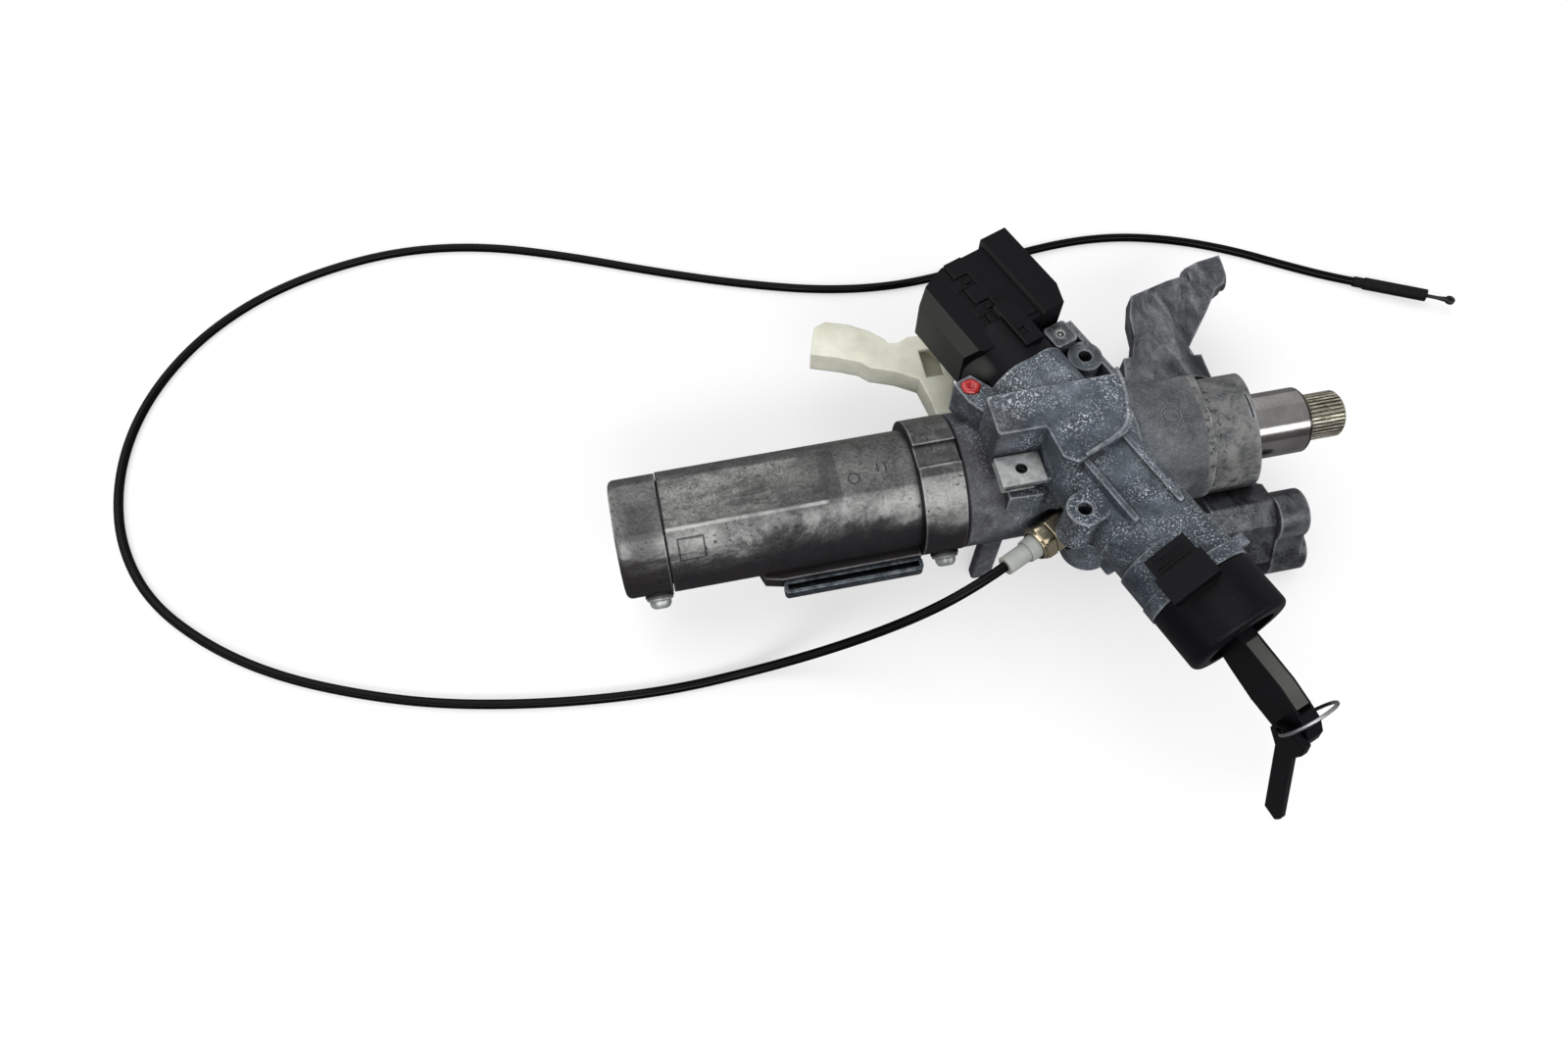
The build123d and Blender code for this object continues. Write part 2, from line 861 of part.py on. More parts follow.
# Lock housing: one alloy casting
nut_bore_depth = nut_spigot_length + 1
pin_plane = Plane(origin=lock_point(pin_along, 0, -barrel_r - pin_start_gap), z_dir=(0, 0, 1))
with BuildPart() as lock_housing:
    # column barrel, squared block and bearing boss
    with BuildSketch(across(seam_x)):
        Circle(housing_r)
    extrude(amount=block_x - seam_x + 2)
    with BuildSketch(across(block_x)):
        Circle(block_r)
        with Locations(((block_flat_y0 + block_flat_y1) / 2, block_r / 2)):
            RectangleRounded(block_flat_y1 - block_flat_y0, block_r, block_corner)
    extrude(amount=boss_x - block_x)
    with BuildSketch(across(boss_x)):
        Circle(boss_r)
    extrude(amount=boss_end_x - boss_x)
    # legs under the left end
    for side in (-1, 1):
        with BuildSketch(Plane.XY.offset(bench_z)):
            with Locations((leg_x, side * leg_y)):
                RectangleRounded(leg_length, leg_thickness, leg_corner)
        extrude(amount=leg_top - bench_z)
    # lock barrel with a flattened top and two ridges
    with BuildSketch(lock_at(barrel_back)):
        Circle(barrel_r)
        with Locations((0, barrel_flat + barrel_r)):
            Rectangle(3 * barrel_r, 2 * barrel_r, mode=Mode.SUBTRACT)
    extrude(amount=barrel_front - barrel_back)
    for side, ridge_end in ridge_ends:
        with BuildSketch(lock_level(lock_z + ridge_root)):
            with Locations(((ridge_start + ridge_end) / 2, side)):
                RectangleRounded(ridge_end - ridge_start, ridge_width, ridge_width / 2.1)
        extrude(amount=barrel_flat + ridge_height - ridge_root)
    with BuildSketch(lock_at(barrel_front)):
        Circle(rim_r)
    extrude(amount=rim_front - barrel_front)
    with BuildSketch(lock_at(rim_lug_back)):
        with Locations(((rim_lug[0] + rim_lug[1]) / 2, rim_lug[2])):
            RectangleRounded(rim_lug[1] - rim_lug[0], rim_lug[3], 1.6)
    extrude(amount=rim_lug_front - rim_lug_back)
    # pad over the crossing
    with BuildSketch(Plane.XY.offset(pad_bottom)) as pad:
        Polygon(*pad_outline, align=None)
        fillet(pad.vertices(), pad_corner)
    extrude(amount=pad_top - pad_bottom)
    # tab for the clip nut and its support
    with BuildSketch(Plane.XY.offset(tab_top - tab_thickness)):
        Polygon((tab_x0, -5), (tab_x0, tab_y0), (tab_x1, tab_y0 - 0.6), (tab_x1, -5), align=None)
    extrude(amount=tab_thickness)
    with BuildSketch(Plane.XY.offset(pad_bottom)):
        Polygon(*tab_support_outline, align=None)
    extrude(amount=tab_top - tab_thickness - pad_bottom)
    with BuildSketch(Plane.XY.offset(pad_bottom)):
        Polygon(*tab_ledge_outline, align=None)
    extrude(amount=tab_ledge_top - pad_bottom)
    # bosses and lugs, all upright
    with BuildSketch(lock_level(back_body_bottom)):
        Polygon(*back_body_outline, align=None)
    extrude(amount=back_pocket_z - back_body_bottom)
    with BuildSketch(lock_level(back_pocket_z)):
        with Locations((back_wall_along, back_wall_side + back_wall_thickness / 2)):
            Rectangle(back_wall_length, back_wall_thickness)
        with Locations(back_boss):
            Circle(boss_wall_r)
    extrude(amount=back_boss_top - back_pocket_z)
    with BuildSketch(lock_level(lug_bottom)):
        with Locations(plain_lug):
            RectangleRounded(2 * lug_r, 2 * lug_r, 1.5)
    extrude(amount=lug_top - lug_bottom)
    with BuildSketch(lock_level(lug_bottom)):
        Polygon(*red_lug_outline, align=None)
    extrude(amount=lug_top - lug_bottom)
    with BuildSketch(lock_level(front_boss_bottom)):
        with Locations(front_boss):
            Circle(boss_wall_r)
            Rectangle(2 * boss_wall_r, boss_wall_r, align=(Align.CENTER, Align.MIN))
    extrude(amount=front_boss_top - front_boss_bottom)
    # lug low on the left of the lock barrel, and its thicker front
    with BuildSketch(lock_level(barrel_lug_z)):
        with Locations(((barrel_lug[0] + barrel_lug[1]) / 2, barrel_lug_side)):
            RectangleRounded(barrel_lug[1] - barrel_lug[0], 7, 1)
    extrude(amount=8)
    with BuildSketch(lock_at(barrel_collar_start)):
        Circle(barrel_collar_r)
        with Locations((0, barrel_flat + barrel_r)):
            Rectangle(3 * barrel_r, 2 * barrel_r, mode=Mode.SUBTRACT)
    extrude(amount=barrel_front - barrel_collar_start)
    # boss for the interlock cable and the lobe beside it
    with BuildSketch(cable_plane(0)):
        Circle(nut_boss_r)
    extrude(amount=-nut_boss_depth)
    with BuildSketch(Plane.XY.offset(lobe_bottom)):
        with Locations((lobe_x, lobe_y)):
            Circle(lobe_r)
            Rectangle(2 * lobe_r - 2, lobe_r + 6, align=(Align.CENTER, Align.MIN))
    extrude(amount=lobe_top - lobe_bottom)
    # ears at the right front
    with BuildSketch(across(ear_x0)):
        with Locations(ear_high[:2]):
            Circle(ear_high[2])
        Polygon(*ear_plate_outline, align=None)
    extrude(amount=ear_x1 - ear_x0)
    with BuildSketch(across(ear_x0)):
        with Locations(ear_low[:2]):
            Circle(ear_low[2])
    extrude(amount=ear_low_x1 - ear_x0)
    with BuildSketch(across(ear_web_x)):
        Polygon(*ear_web_outline, align=None)
    extrude(amount=ear_x0 - ear_web_x)
    # arm at the right back, with its end lobe
    with BuildSketch(Plane.XY.offset(arm_top - arm_thickness)):
        Polygon(*arm_outline, align=None)
    extrude(amount=arm_thickness)
    with BuildSketch(Plane.XY.offset(arm_top)):
        Polygon(*arm_crest_base, align=None)
    with BuildSketch(Plane.XY.offset(arm_top + arm_crest_height)):
        Polygon(*arm_crest_top, align=None)
    loft(ruled=True)
    with BuildSketch(across(arm_end_x0)):
        with Locations((arm_end_y, arm_end_z)):
            Circle(arm_end_r)
    extrude(amount=arm_end_x1 - arm_end_x0)
    # the bearing boss is cut back on its upper front side
    with BuildSketch(Plane(origin=(boss_end_x, 0, 0), z_dir=(1, -boss_end_slope / 2, boss_end_slope))):
        Circle(boss_r + 0.6)
    extrude(amount=boss_r, mode=Mode.SUBTRACT)
    # narrow slot near the boss's end and a plain round mark on the block
    with BuildSketch(Plane.XY.offset(crimp_slot_z)):
        with Locations(crimp_slot):
            Rectangle(crimp_slot_width, crimp_slot_length)
    extrude(amount=boss_r, mode=Mode.SUBTRACT)
    with BuildSketch(Plane.XY.offset(block_r - ring_mark_depth)):
        with Locations(ring_mark):
            Circle(ring_mark_r)
            Circle(ring_mark_r - ring_mark_line, mode=Mode.SUBTRACT)
    extrude(amount=ring_mark_depth + 1, mode=Mode.SUBTRACT)
    # clearances outside
    with BuildSketch(lock_at(barrel_back)):
        Circle(drum_r + air_gap)
    extrude(amount=-drum_clearance, mode=Mode.SUBTRACT)
    with BuildSketch(cable_plane(0)):
        Circle(nut_spot_r)
    extrude(amount=nut_spot_r * 2, mode=Mode.SUBTRACT)
    with BuildSketch(Plane.XY.offset(tab_top - tab_thickness)):
        with Locations((clip_hole_x, clip_hole_y)):
            Circle(clip_pocket_r)
    extrude(amount=-clip_pocket_depth, mode=Mode.SUBTRACT)
    with BuildSketch(Plane.XY.offset(tab_top - tab_thickness - 1)):
        with Locations((clip_hole_x, clip_hole_y)):
            Circle(clip_hole_r + air_gap)
    extrude(amount=tab_thickness + 2, mode=Mode.SUBTRACT)
    with BuildSketch(Plane.XY.offset(tab_top - tab_thickness)):
        with Locations((tab_x0 - 2, clip_y0 - 1)):
            Rectangle(clip_x1 - tab_x0 + 3, clip_y1 - clip_y0 + 2, align=(Align.MIN, Align.MIN))
    extrude(amount=-clip_sheet - air_gap, mode=Mode.SUBTRACT)
    with BuildSketch(Plane.XY.offset(tab_top)):
        with Locations((tab_x0 - 2, clip_y0 - 1)):
            Rectangle(
                clip_x1 + air_gap - tab_x0 + 2,
                clip_y1 + air_gap - clip_y0 + 1,
                align=(Align.MIN, Align.MIN),
            )
    extrude(amount=clip_room, mode=Mode.SUBTRACT)
    # room for the jacket's collar under the red lug, then the spigot inside the jacket
    with BuildSketch(across(seam_x)):
        Circle(collar_r + air_gap)
    extrude(amount=-collar_room, mode=Mode.SUBTRACT)
    with BuildSketch(across(seam_x)):
        Circle(jacket_bore_r - fit_gap)
    extrude(amount=-housing_spigot_length)
    # bores along the spindle
    with BuildSketch(across(seam_x - housing_spigot_length - 1)):
        Circle(housing_bore_r)
    extrude(amount=boss_x - seam_x + housing_spigot_length + 1, mode=Mode.SUBTRACT)
    with BuildSketch(across(boss_x - 1)):
        Circle(shoulder_r)
    extrude(amount=bearing_x - boss_x + 2, mode=Mode.SUBTRACT)
    with BuildSketch(across(bearing_x)):
        Circle(bearing_outer_r)
    extrude(amount=boss_end_x - bearing_x + 1, mode=Mode.SUBTRACT)
    with BuildSketch(across(race_end_x)):
        Circle(circlip_outer_r)
    extrude(amount=circlip_thickness + 2 * running_gap, mode=Mode.SUBTRACT)
    # bores along the lock
    with BuildSketch(lock_at(cylinder_back)):
        Circle(cylinder_r)
    extrude(amount=rim_front - cylinder_back + 1, mode=Mode.SUBTRACT)
    with BuildSketch(lock_at(barrel_back - 1)):
        Circle(rod_bore_r)
    extrude(amount=cylinder_back - barrel_back + 2, mode=Mode.SUBTRACT)
    with BuildSketch(lock_at(barrel_back - 1)):
        Circle(rotor_recess_r)
    extrude(amount=rotor_recess + 1, mode=Mode.SUBTRACT)
    with BuildSketch(pin_plane):
        Circle(sleeve_pin_r + fit_gap)
    extrude(amount=sleeve_pin_length, mode=Mode.SUBTRACT)
    # channel for the lock bolt
    with BuildSketch(Plane.XY.offset(housing_bore_r - 3)):
        with Locations((lock_x, 0)):
            Rectangle(2 * (bolt_half_x + air_gap), 2 * (bolt_half_y + air_gap))
    extrude(amount=bolt_roof_z - housing_bore_r + 3, mode=Mode.SUBTRACT)
    # threaded holes
    for spot, top in ((back_boss, back_boss_top), (front_boss, front_boss_top)):
        with BuildSketch(lock_level(top)):
            with Locations(spot):
                Circle(boss_hole_r)
        extrude(amount=-boss_hole_depth, mode=Mode.SUBTRACT)
    for spot in (plain_lug, red_lug):
        with BuildSketch(lock_level(lug_top)):
            with Locations(spot):
                Circle(lug_screw_r + running_gap)
        extrude(amount=-lug_screw_length - 1, mode=Mode.SUBTRACT)
    for ear, ear_face_x in ((ear_high, ear_x1), (ear_low, ear_low_x1)):
        with BuildSketch(across(ear_face_x)):
            with Locations(ear[:2]):
                Circle(ear_hole_r)
        extrude(amount=-ear_hole_depth, mode=Mode.SUBTRACT)
    # bore for the interlock pin and the nut's thread
    with BuildSketch(cable_plane(0)):
        Circle(nut_spigot_r)
    extrude(amount=-nut_bore_depth, mode=Mode.SUBTRACT)
    with BuildSketch(cable_plane(0)):
        Circle(wire_bore_r)
    extrude(amount=-pin_bore_depth, mode=Mode.SUBTRACT)
save(lock_housing.part, "lock_housing")

# Lock bolt: a steel frame round the drive rod, with a tip that drops into the ring
bolt_tip_z = lock_ring_r + bolt_tip_gap
bolt_bar_z = bolt_tip_z + bolt_tip_height
bolt_opening_z = bolt_bar_z + bolt_bar
bolt_opening_top = lock_z + cam_r + cam_offset + bolt_throw + bolt_clearance
bolt_top_z = bolt_opening_top + bolt_bar
with BuildPart() as lock_bolt:
    with BuildSketch(Plane.XY.offset(bolt_tip_z)):
        with Locations((lock_x, 0)):
            Rectangle(bolt_tip_length, bolt_tip_width)
    extrude(amount=bolt_tip_height)
    with BuildSketch(Plane.XY.offset(bolt_bar_z)):
        with Locations((lock_x, 0)):
            Rectangle(2 * bolt_half_x, 2 * bolt_half_y)
    extrude(amount=bolt_top_z - bolt_bar_z)
    with BuildSketch(Plane.XY.offset(bolt_opening_z)):
        with Locations((lock_x, 0)):
            Rectangle(2 * bolt_opening_half_x, 3 * bolt_half_y)
    extrude(amount=bolt_opening_top - bolt_opening_z, mode=Mode.SUBTRACT)
save(lock_bolt.part, "lock_bolt")

# Coil spring between the bolt and the roof of its channel
spring_length = bolt_roof_z - bolt_top_z
spring_pitch = (spring_length - bolt_spring_wire) / bolt_spring_turns
spring_axis = Location((lock_x, 0, bolt_top_z + bolt_spring_wire / 2))
spring_path = spring_axis * Helix(spring_pitch, spring_length - bolt_spring_wire, bolt_spring_r)
with BuildPart() as bolt_spring:
    with BuildSketch(Plane(origin=spring_path @ 0, z_dir=spring_path % 0)):
        Circle(bolt_spring_wire / 2)
    sweep(path=spring_path)
save(bolt_spring.part, "bolt_spring")

# Drive rod from the plug to the switch, with the cam that holds the bolt up
with BuildPart() as drive_rod:
    with BuildSketch(lock_at(rotor_front)):
        Circle(rod_r)
    extrude(amount=plug_back - rotor_front)
    with BuildSketch(lock_at(-cam_length / 2, 0, cam_offset)):
        Circle(cam_r)
    extrude(amount=cam_length)
    with BuildSketch(lock_at(rod_back)):
        Rectangle(rod_square, rod_square)
    extrude(amount=rotor_front - rod_back)
save(drive_rod.part, "drive_rod")

# Lock cylinder: sleeve, rotating plug, wafers and the pin that keeps the sleeve in
with BuildPart() as cylinder_sleeve:
    with BuildSketch(lock_at(cylinder_back)):
        Circle(cylinder_r - fit_gap)
        Circle(plug_r + running_gap, mode=Mode.SUBTRACT)
    extrude(amount=cylinder_front - cylinder_back)
    with BuildSketch(pin_plane):
        Circle(sleeve_pin_r + fit_gap)
    extrude(amount=sleeve_pin_length, mode=Mode.SUBTRACT)
save(cylinder_sleeve.part, "cylinder_sleeve")

with BuildPart() as cylinder_pin:
    with BuildSketch(pin_plane):
        Circle(sleeve_pin_r)
    extrude(amount=sleeve_pin_length - fit_gap)
save(cylinder_pin.part, "cylinder_pin")

with BuildPart() as lock_plug:
    with BuildSketch(lock_at(plug_back)):
        Circle(plug_r)
    extrude(amount=plug_front - plug_back)
    with BuildSketch(lock_at(keyway_back)):
        Rectangle(keyway_width, keyway_height)
    extrude(amount=plug_front - keyway_back + 1, mode=Mode.SUBTRACT)
    for i in range(wafer_count):
        with BuildSketch(lock_at(wafer_first + i * wafer_pitch - wafer_gap)):
            Rectangle(wafer_width + 2 * wafer_gap, 2 * plug_r + 2)
        extrude(amount=wafer_thickness + 2 * wafer_gap, mode=Mode.SUBTRACT)
save(lock_plug.part, "lock_plug")

with BuildPart() as wafers:
    for i in range(wafer_count):
        with BuildSketch(lock_at(wafer_first + i * wafer_pitch)):
            Rectangle(wafer_width, wafer_height)
            Rectangle(keyway_width + 0.4, keyway_height + 0.4, mode=Mode.SUBTRACT)
        extrude(amount=wafer_thickness)
save(wafers.part, "wafers")

# Aerial ring that reads the key: ring body, coil inside it and the connector's terminals
with BuildPart() as aerial_ring:
    with BuildSketch(lock_at(aerial_back)):
        Circle(aerial_r)
    extrude(amount=aerial_front - aerial_back)
    lock_axis = Axis(lock_point(0, 0), (lock_dx, lock_dy, 0))
    fillet(aerial_ring.edges().filter_by(GeomType.CIRCLE).sort_by(lock_axis)[-1], aerial_round)
    with BuildSketch(lock_at(connector_back, lean=aerial_lean)):
        with Locations((0, rim_r + air_gap)):
            Rectangle(2 * connector_half, connector_height, align=(Align.CENTER, Align.MIN))
    extrude(amount=connector_front - connector_back)
    with BuildSketch(lock_at(connector_step, lean=aerial_lean)):
        with Locations((0, rim_r + air_gap)):
            Rectangle(2 * connector_half + 2.4, connector_height + 1, align=(Align.CENTER, Align.MIN))
    extrude(amount=connector_front - connector_step)
    with BuildSketch(lock_at(aerial_back, lean=aerial_lean)):
        with Locations((0, aerial_r - 4)):
            Rectangle(2 * connector_half, connector_height + 4, align=(Align.CENTER, Align.MIN))
    extrude(amount=connector_front - aerial_back)
    with BuildSketch(lock_at(aerial_back - 1)):
        Circle(aerial_tunnel_r)
    extrude(amount=aerial_front - aerial_back + 2, mode=Mode.SUBTRACT)
    with BuildSketch(lock_at(aerial_back - 1)):
        Circle(coil_outer_r + air_gap)
        Circle(coil_inner_r - air_gap, mode=Mode.SUBTRACT)
    extrude(amount=coil_front - aerial_back + 1, mode=Mode.SUBTRACT)
    with BuildSketch(lock_at(connector_back, lean=aerial_lean)):
        with Locations((0, rim_r + air_gap + connector_height / 2)):
            Rectangle(2 * connector_half - 2.4, connector_height - 2.4)
    extrude(amount=socket_depth, mode=Mode.SUBTRACT)
save(aerial_ring.part, "aerial_ring")

with BuildPart() as aerial_coil:
    with BuildSketch(lock_at(coil_front - coil_length)):
        Circle(coil_outer_r)
        Circle(coil_inner_r, mode=Mode.SUBTRACT)
    extrude(amount=coil_length)
save(aerial_coil.part, "aerial_coil")

with BuildPart() as aerial_terminals:
    with BuildSketch(lock_at(connector_back + 2, lean=aerial_lean)):
        with Locations((0, rim_r + air_gap + connector_height / 2)):
            with GridLocations(aerial_terminal_pitch, 1, 3, 1):
                Rectangle(1.0, 0.6)
    extrude(amount=socket_depth - 2)
save(aerial_terminals.part, "aerial_terminals")

# Key: blade, moulded head with its grey strip, and the transponder in the head
half_head = key_head_thickness / 2
with BuildPart() as key_blade:
    with BuildSketch(lock_upright()):
        Polygon(
            (key_tip, -1.2),
            (key_tip + 3, -key_height / 2),
            (key_head_start + key_tang, -key_height / 2),
            (key_head_start + key_tang, key_height / 2),
            (key_tip + 3, key_height / 2),
            (key_tip, 1.2),
            align=None,
        )
    extrude(amount=key_thickness / 2, both=True)
    for side in (-1, 1):
        with BuildSketch(lock_upright(side * key_thickness / 2)):
            with Locations(((key_tip + key_head_start) / 2 - 2, 0)):
                Rectangle(key_head_start - key_tip - 4, 2.0)
        extrude(amount=0.5, both=True, mode=Mode.SUBTRACT)
save(key_blade.part, "key_blade")

with BuildPart() as key_head:
    with BuildSketch(lock_upright()):
        Polygon(*key_head_outline, align=None)
    extrude(amount=half_head, both=True)
    with BuildSketch(lock_upright()):
        Rectangle(
            2 * (key_head_start + key_tang + fit_gap),
            key_height + 2 * fit_gap,
        )
    extrude(amount=key_thickness / 2 + fit_gap, both=True, mode=Mode.SUBTRACT)
    with BuildSketch(lock_upright()):
        Polygon(*key_band_outline, align=None)
    extrude(amount=key_band_width / 2 + fit_gap, both=True, mode=Mode.SUBTRACT)
    with BuildSketch(lock_upright()):
        with Locations(key_hole):
            Circle(key_hole_r)
    extrude(amount=key_head_thickness, both=True, mode=Mode.SUBTRACT)
    with BuildSketch(lock_at(transponder_along, 0, transponder_up)):
        Circle(transponder_r + fit_gap)
    extrude(amount=transponder_length, mode=Mode.SUBTRACT)
save(key_head.part, "key_head")

with BuildPart() as key_band:
    with BuildSketch(lock_upright()):
        Polygon(*key_band_outline, align=None)
    extrude(amount=key_band_width / 2, both=True)
save(key_band.part, "key_band")

with BuildPart() as transponder:
    with BuildSketch(lock_at(transponder_along + fit_gap, 0, transponder_up)):
        Circle(transponder_r)
    extrude(amount=transponder_length - 2 * fit_gap)
save(transponder.part, "transponder")

# Wire ring through the hole in the key head
lean = math.radians(wire_ring_lean)
ring_along = key_hole[0] + wire_ring_r * math.sin(lean)
ring_up = key_hole[1] + wire_ring_r * math.cos(lean)
ring_centre = lock_point(ring_along, 0, ring_up)
ring_axis = (lock_dx * math.cos(lean), lock_dy * math.cos(lean), -math.sin(lean))
ring_top = (lock_dx * math.sin(lean), lock_dy * math.sin(lean), math.cos(lean))
with BuildPart() as wire_ring:
    with BuildSketch(Plane(origin=ring_centre, x_dir=(-lock_dy, lock_dx, 0), z_dir=ring_top)):
        with Locations((wire_ring_r, 0)):
            Circle(wire_ring_wire)
    revolve(axis=Axis(ring_centre, ring_axis))
save(wire_ring.part, "wire_ring")

# Flat plastic spare key that hangs on the ring
spare_drop = math.sqrt(wire_ring_r ** 2 - spare_side ** 2)
spare_hole = (ring_along - spare_drop * math.sin(lean), ring_up - spare_drop * math.cos(lean))
with BuildPart() as spare_key:
    with BuildSketch(lock_upright(spare_side)) as spare:
        Polygon(*spare_outline, align=None)
        fillet(spare.vertices(), 0.8)
        with Locations(spare_hole):
            Circle(spare_hole_r, mode=Mode.SUBTRACT)
    extrude(amount=spare_thickness / 2, both=True)
save(spare_key.part, "spare_key")

# Electrical switch: left case with the drum, terminals, right cover and rotor
with BuildPart() as switch_case:
    with BuildSketch(lock_at(drum_back)):
        Circle(drum_r)
    extrude(amount=drum_front - drum_back)
    with BuildSketch(lock_level(switch_floor)):
        Polygon(*case_outline, align=None)
    extrude(amount=switch_top - switch_floor)
    # the left upper edge is bevelled
    with BuildSketch(lock_at(switch_back - 1)):
        Polygon(
            (switch_left - 1, switch_bevel_z - lock_z),
            (switch_left - 1, switch_top - lock_z + 1),
            (switch_left + switch_bevel, switch_top - lock_z + 1),
            (switch_left + switch_bevel, switch_top - lock_z),
            (switch_left, switch_bevel_z - lock_z),
            align=None,
        )
    extrude(amount=switch_front - switch_back + 12, mode=Mode.SUBTRACT)
    # closed contact chamber over the socket
    chamber_side = (switch_left + switch_split + chamber_shift) / 2
    with BuildSketch(lock_at(switch_back + case_wall)):
        with Locations((chamber_side, (chamber_z0 + chamber_z1) / 2 - lock_z)):
            Rectangle(switch_split - switch_left - 2 * case_wall - chamber_shift, chamber_z1 - chamber_z0)
    extrude(amount=drum_back - switch_back - 2 * case_wall, mode=Mode.SUBTRACT)
    with BuildSketch(lock_at(rotor_back - air_gap)):
        Circle(rotor_r + running_gap)
    extrude(amount=drum_front - rotor_back + 1, mode=Mode.SUBTRACT)
    with BuildSketch(lock_level(switch_floor)):
        with Locations((socket_along, socket_side)):
            Rectangle(socket_length, socket_width)
    extrude(amount=socket_depth, mode=Mode.SUBTRACT)
    with BuildSketch(lock_level(switch_floor)):
        with Locations((socket_along, socket_side)):
            with GridLocations(terminal_pitch, terminal_row_gap, terminal_count // 2, 2):
                Rectangle(terminal_width + 2 * fit_gap, terminal_sheet + 2 * fit_gap)
    extrude(amount=chamber_z0 - switch_floor + 1, mode=Mode.SUBTRACT)
    # two snap tongues that lie in the cover, each with a window
    for start, end in tongue_spans:
        with BuildSketch(lock_level(switch_top - tongue_depth)):
            with Locations(((start + end) / 2, (tongue_root + tongue_side) / 2)):
                Rectangle(end - start, tongue_side - tongue_root)
            with Locations(((start + end) / 2, latch_side)):
                Rectangle(latch_room, latch_room, mode=Mode.SUBTRACT)
        extrude(amount=tongue_depth + tongue_rise)
    # nose on the drum for the cover's front strip
    with BuildSketch(lock_level(switch_top - tongue_depth)):
        with Locations(front_latch):
            Rectangle(latch_size, latch_size)
    extrude(amount=tongue_depth + front_strip_rise - air_gap)
save(switch_case.part, "switch_case")

with BuildPart() as switch_terminals:
    with BuildSketch(lock_level(switch_floor + terminal_inset)):
        with Locations((socket_along, socket_side)):
            with GridLocations(terminal_pitch, terminal_row_gap, terminal_count // 2, 2):
                Rectangle(terminal_width, terminal_sheet)
    extrude(amount=chamber_z0 - switch_floor)
save(switch_terminals.part, "switch_terminals")

with BuildPart() as switch_cover:
    with BuildSketch(lock_level(switch_floor)):
        Polygon(*cover_outline, align=None)
    extrude(amount=switch_top - switch_floor)
    # raised band beside the joint and the bar that ends the channel
    for start, end, side, far_side in (
        (switch_back, drum_back, switch_split, band_side),
        band_end,
    ):
        with BuildSketch(lock_level(switch_top - 1)):
            with Locations((start, side)):
                Rectangle(end - start, far_side - side, align=(Align.MIN, Align.MIN))
        extrude(amount=band_rise + 1)
    with BuildSketch(lock_level(switch_top - 1)):
        with Locations((front_strip[0], front_strip[2])):
            Rectangle(
                front_strip[1] - front_strip[0],
                front_strip[3] - front_strip[2],
                align=(Align.MIN, Align.MIN),
            )
    extrude(amount=front_strip_rise + 1)
    with BuildSketch(lock_level(switch_floor)):
        Polygon(*ridge_outline, align=None)
    extrude(amount=switch_top + ridge_rise - switch_floor)
    # room for the drum
    with BuildSketch(lock_at(drum_back - air_gap)):
        Circle(drum_r + air_gap)
    extrude(amount=drum_front - drum_back + 10, mode=Mode.SUBTRACT)
    # pockets for the tongues, with the noses that hold them
    for start, end in tongue_spans:
        with BuildSketch(lock_level(switch_top - tongue_depth - air_gap)):
            with Locations(((start + end) / 2, (tongue_root + tongue_side + air_gap) / 2)):
                Rectangle(end - start + 2 * air_gap, tongue_side + air_gap - tongue_root)
            with Locations(((start + end) / 2, latch_side)):
                Rectangle(latch_size, latch_size, mode=Mode.SUBTRACT)
        extrude(amount=tongue_depth + air_gap + band_rise, mode=Mode.SUBTRACT)
    with BuildSketch(lock_level(switch_top - tongue_depth)):
        with Locations(front_latch):
            Rectangle(latch_room, latch_room)
    extrude(amount=tongue_depth + front_strip_rise + 1, mode=Mode.SUBTRACT)
save(switch_cover.part, "switch_cover")

with BuildPart() as switch_rotor:
    with BuildSketch(lock_at(rotor_back)):
        Circle(rotor_r)
        Rectangle(rod_square + 0.2, rod_square + 0.2, mode=Mode.SUBTRACT)
    extrude(amount=rotor_front - rotor_back)
save(switch_rotor.part, "switch_rotor")

# Screws in the two lugs; the left one is sealed with red lacquer
with BuildPart() as switch_screw:
    with BuildSketch(lock_level(lug_top)):
        with Locations(plain_lug):
            Circle(lug_screw_r)
    extrude(amount=-lug_screw_length)
save(switch_screw.part, "switch_screw")

with BuildPart() as sealed_screw:
    with BuildSketch(lock_level(lug_top)):
        with Locations(red_lug):
            Circle(lug_screw_r)
    extrude(amount=-lug_screw_length)
    with BuildSketch(lock_level(lug_top)):
        with Locations(red_lug):
            Circle(seal_r)
    extrude(amount=seal_height, taper=30)
save(sealed_screw.part, "sealed_screw")

# Clip nut on the tab: top leaf, fold and bottom leaf in one piece of sheet, with a threaded collar
with BuildPart() as clip_nut:
    for z, x1, y1, height in (
        (tab_top, clip_x1, clip_y1, clip_sheet),
        (tab_top - tab_thickness - clip_sheet, tab_x0 - fit_gap, clip_y1, tab_thickness + 2 * clip_sheet),
        (tab_top - tab_thickness - clip_sheet, clip_x1 - clip_leaf_short, clip_y1 - 1.5, clip_sheet),
    ):
        with BuildSketch(Plane.XY.offset(z)):
            with Locations((clip_x0, clip_y0)):
                Rectangle(x1 - clip_x0, y1 - clip_y0, align=(Align.MIN, Align.MIN))
        extrude(amount=height)
    with BuildSketch(Plane.XY.offset(tab_top - tab_thickness - clip_sheet)):
        with Locations((clip_hole_x, clip_hole_y)):
            Circle(clip_pocket_r - 2 * air_gap)
    extrude(amount=-clip_pocket_depth + 2 * clip_sheet)
    with BuildSketch(Plane.XY.offset(tab_top + clip_sheet)):
        with Locations((clip_hole_x, clip_hole_y)):
            Circle(clip_hole_r)
    extrude(amount=-2 * clip_pocket_depth - tab_thickness, mode=Mode.SUBTRACT)
save(clip_nut.part, "clip_nut")

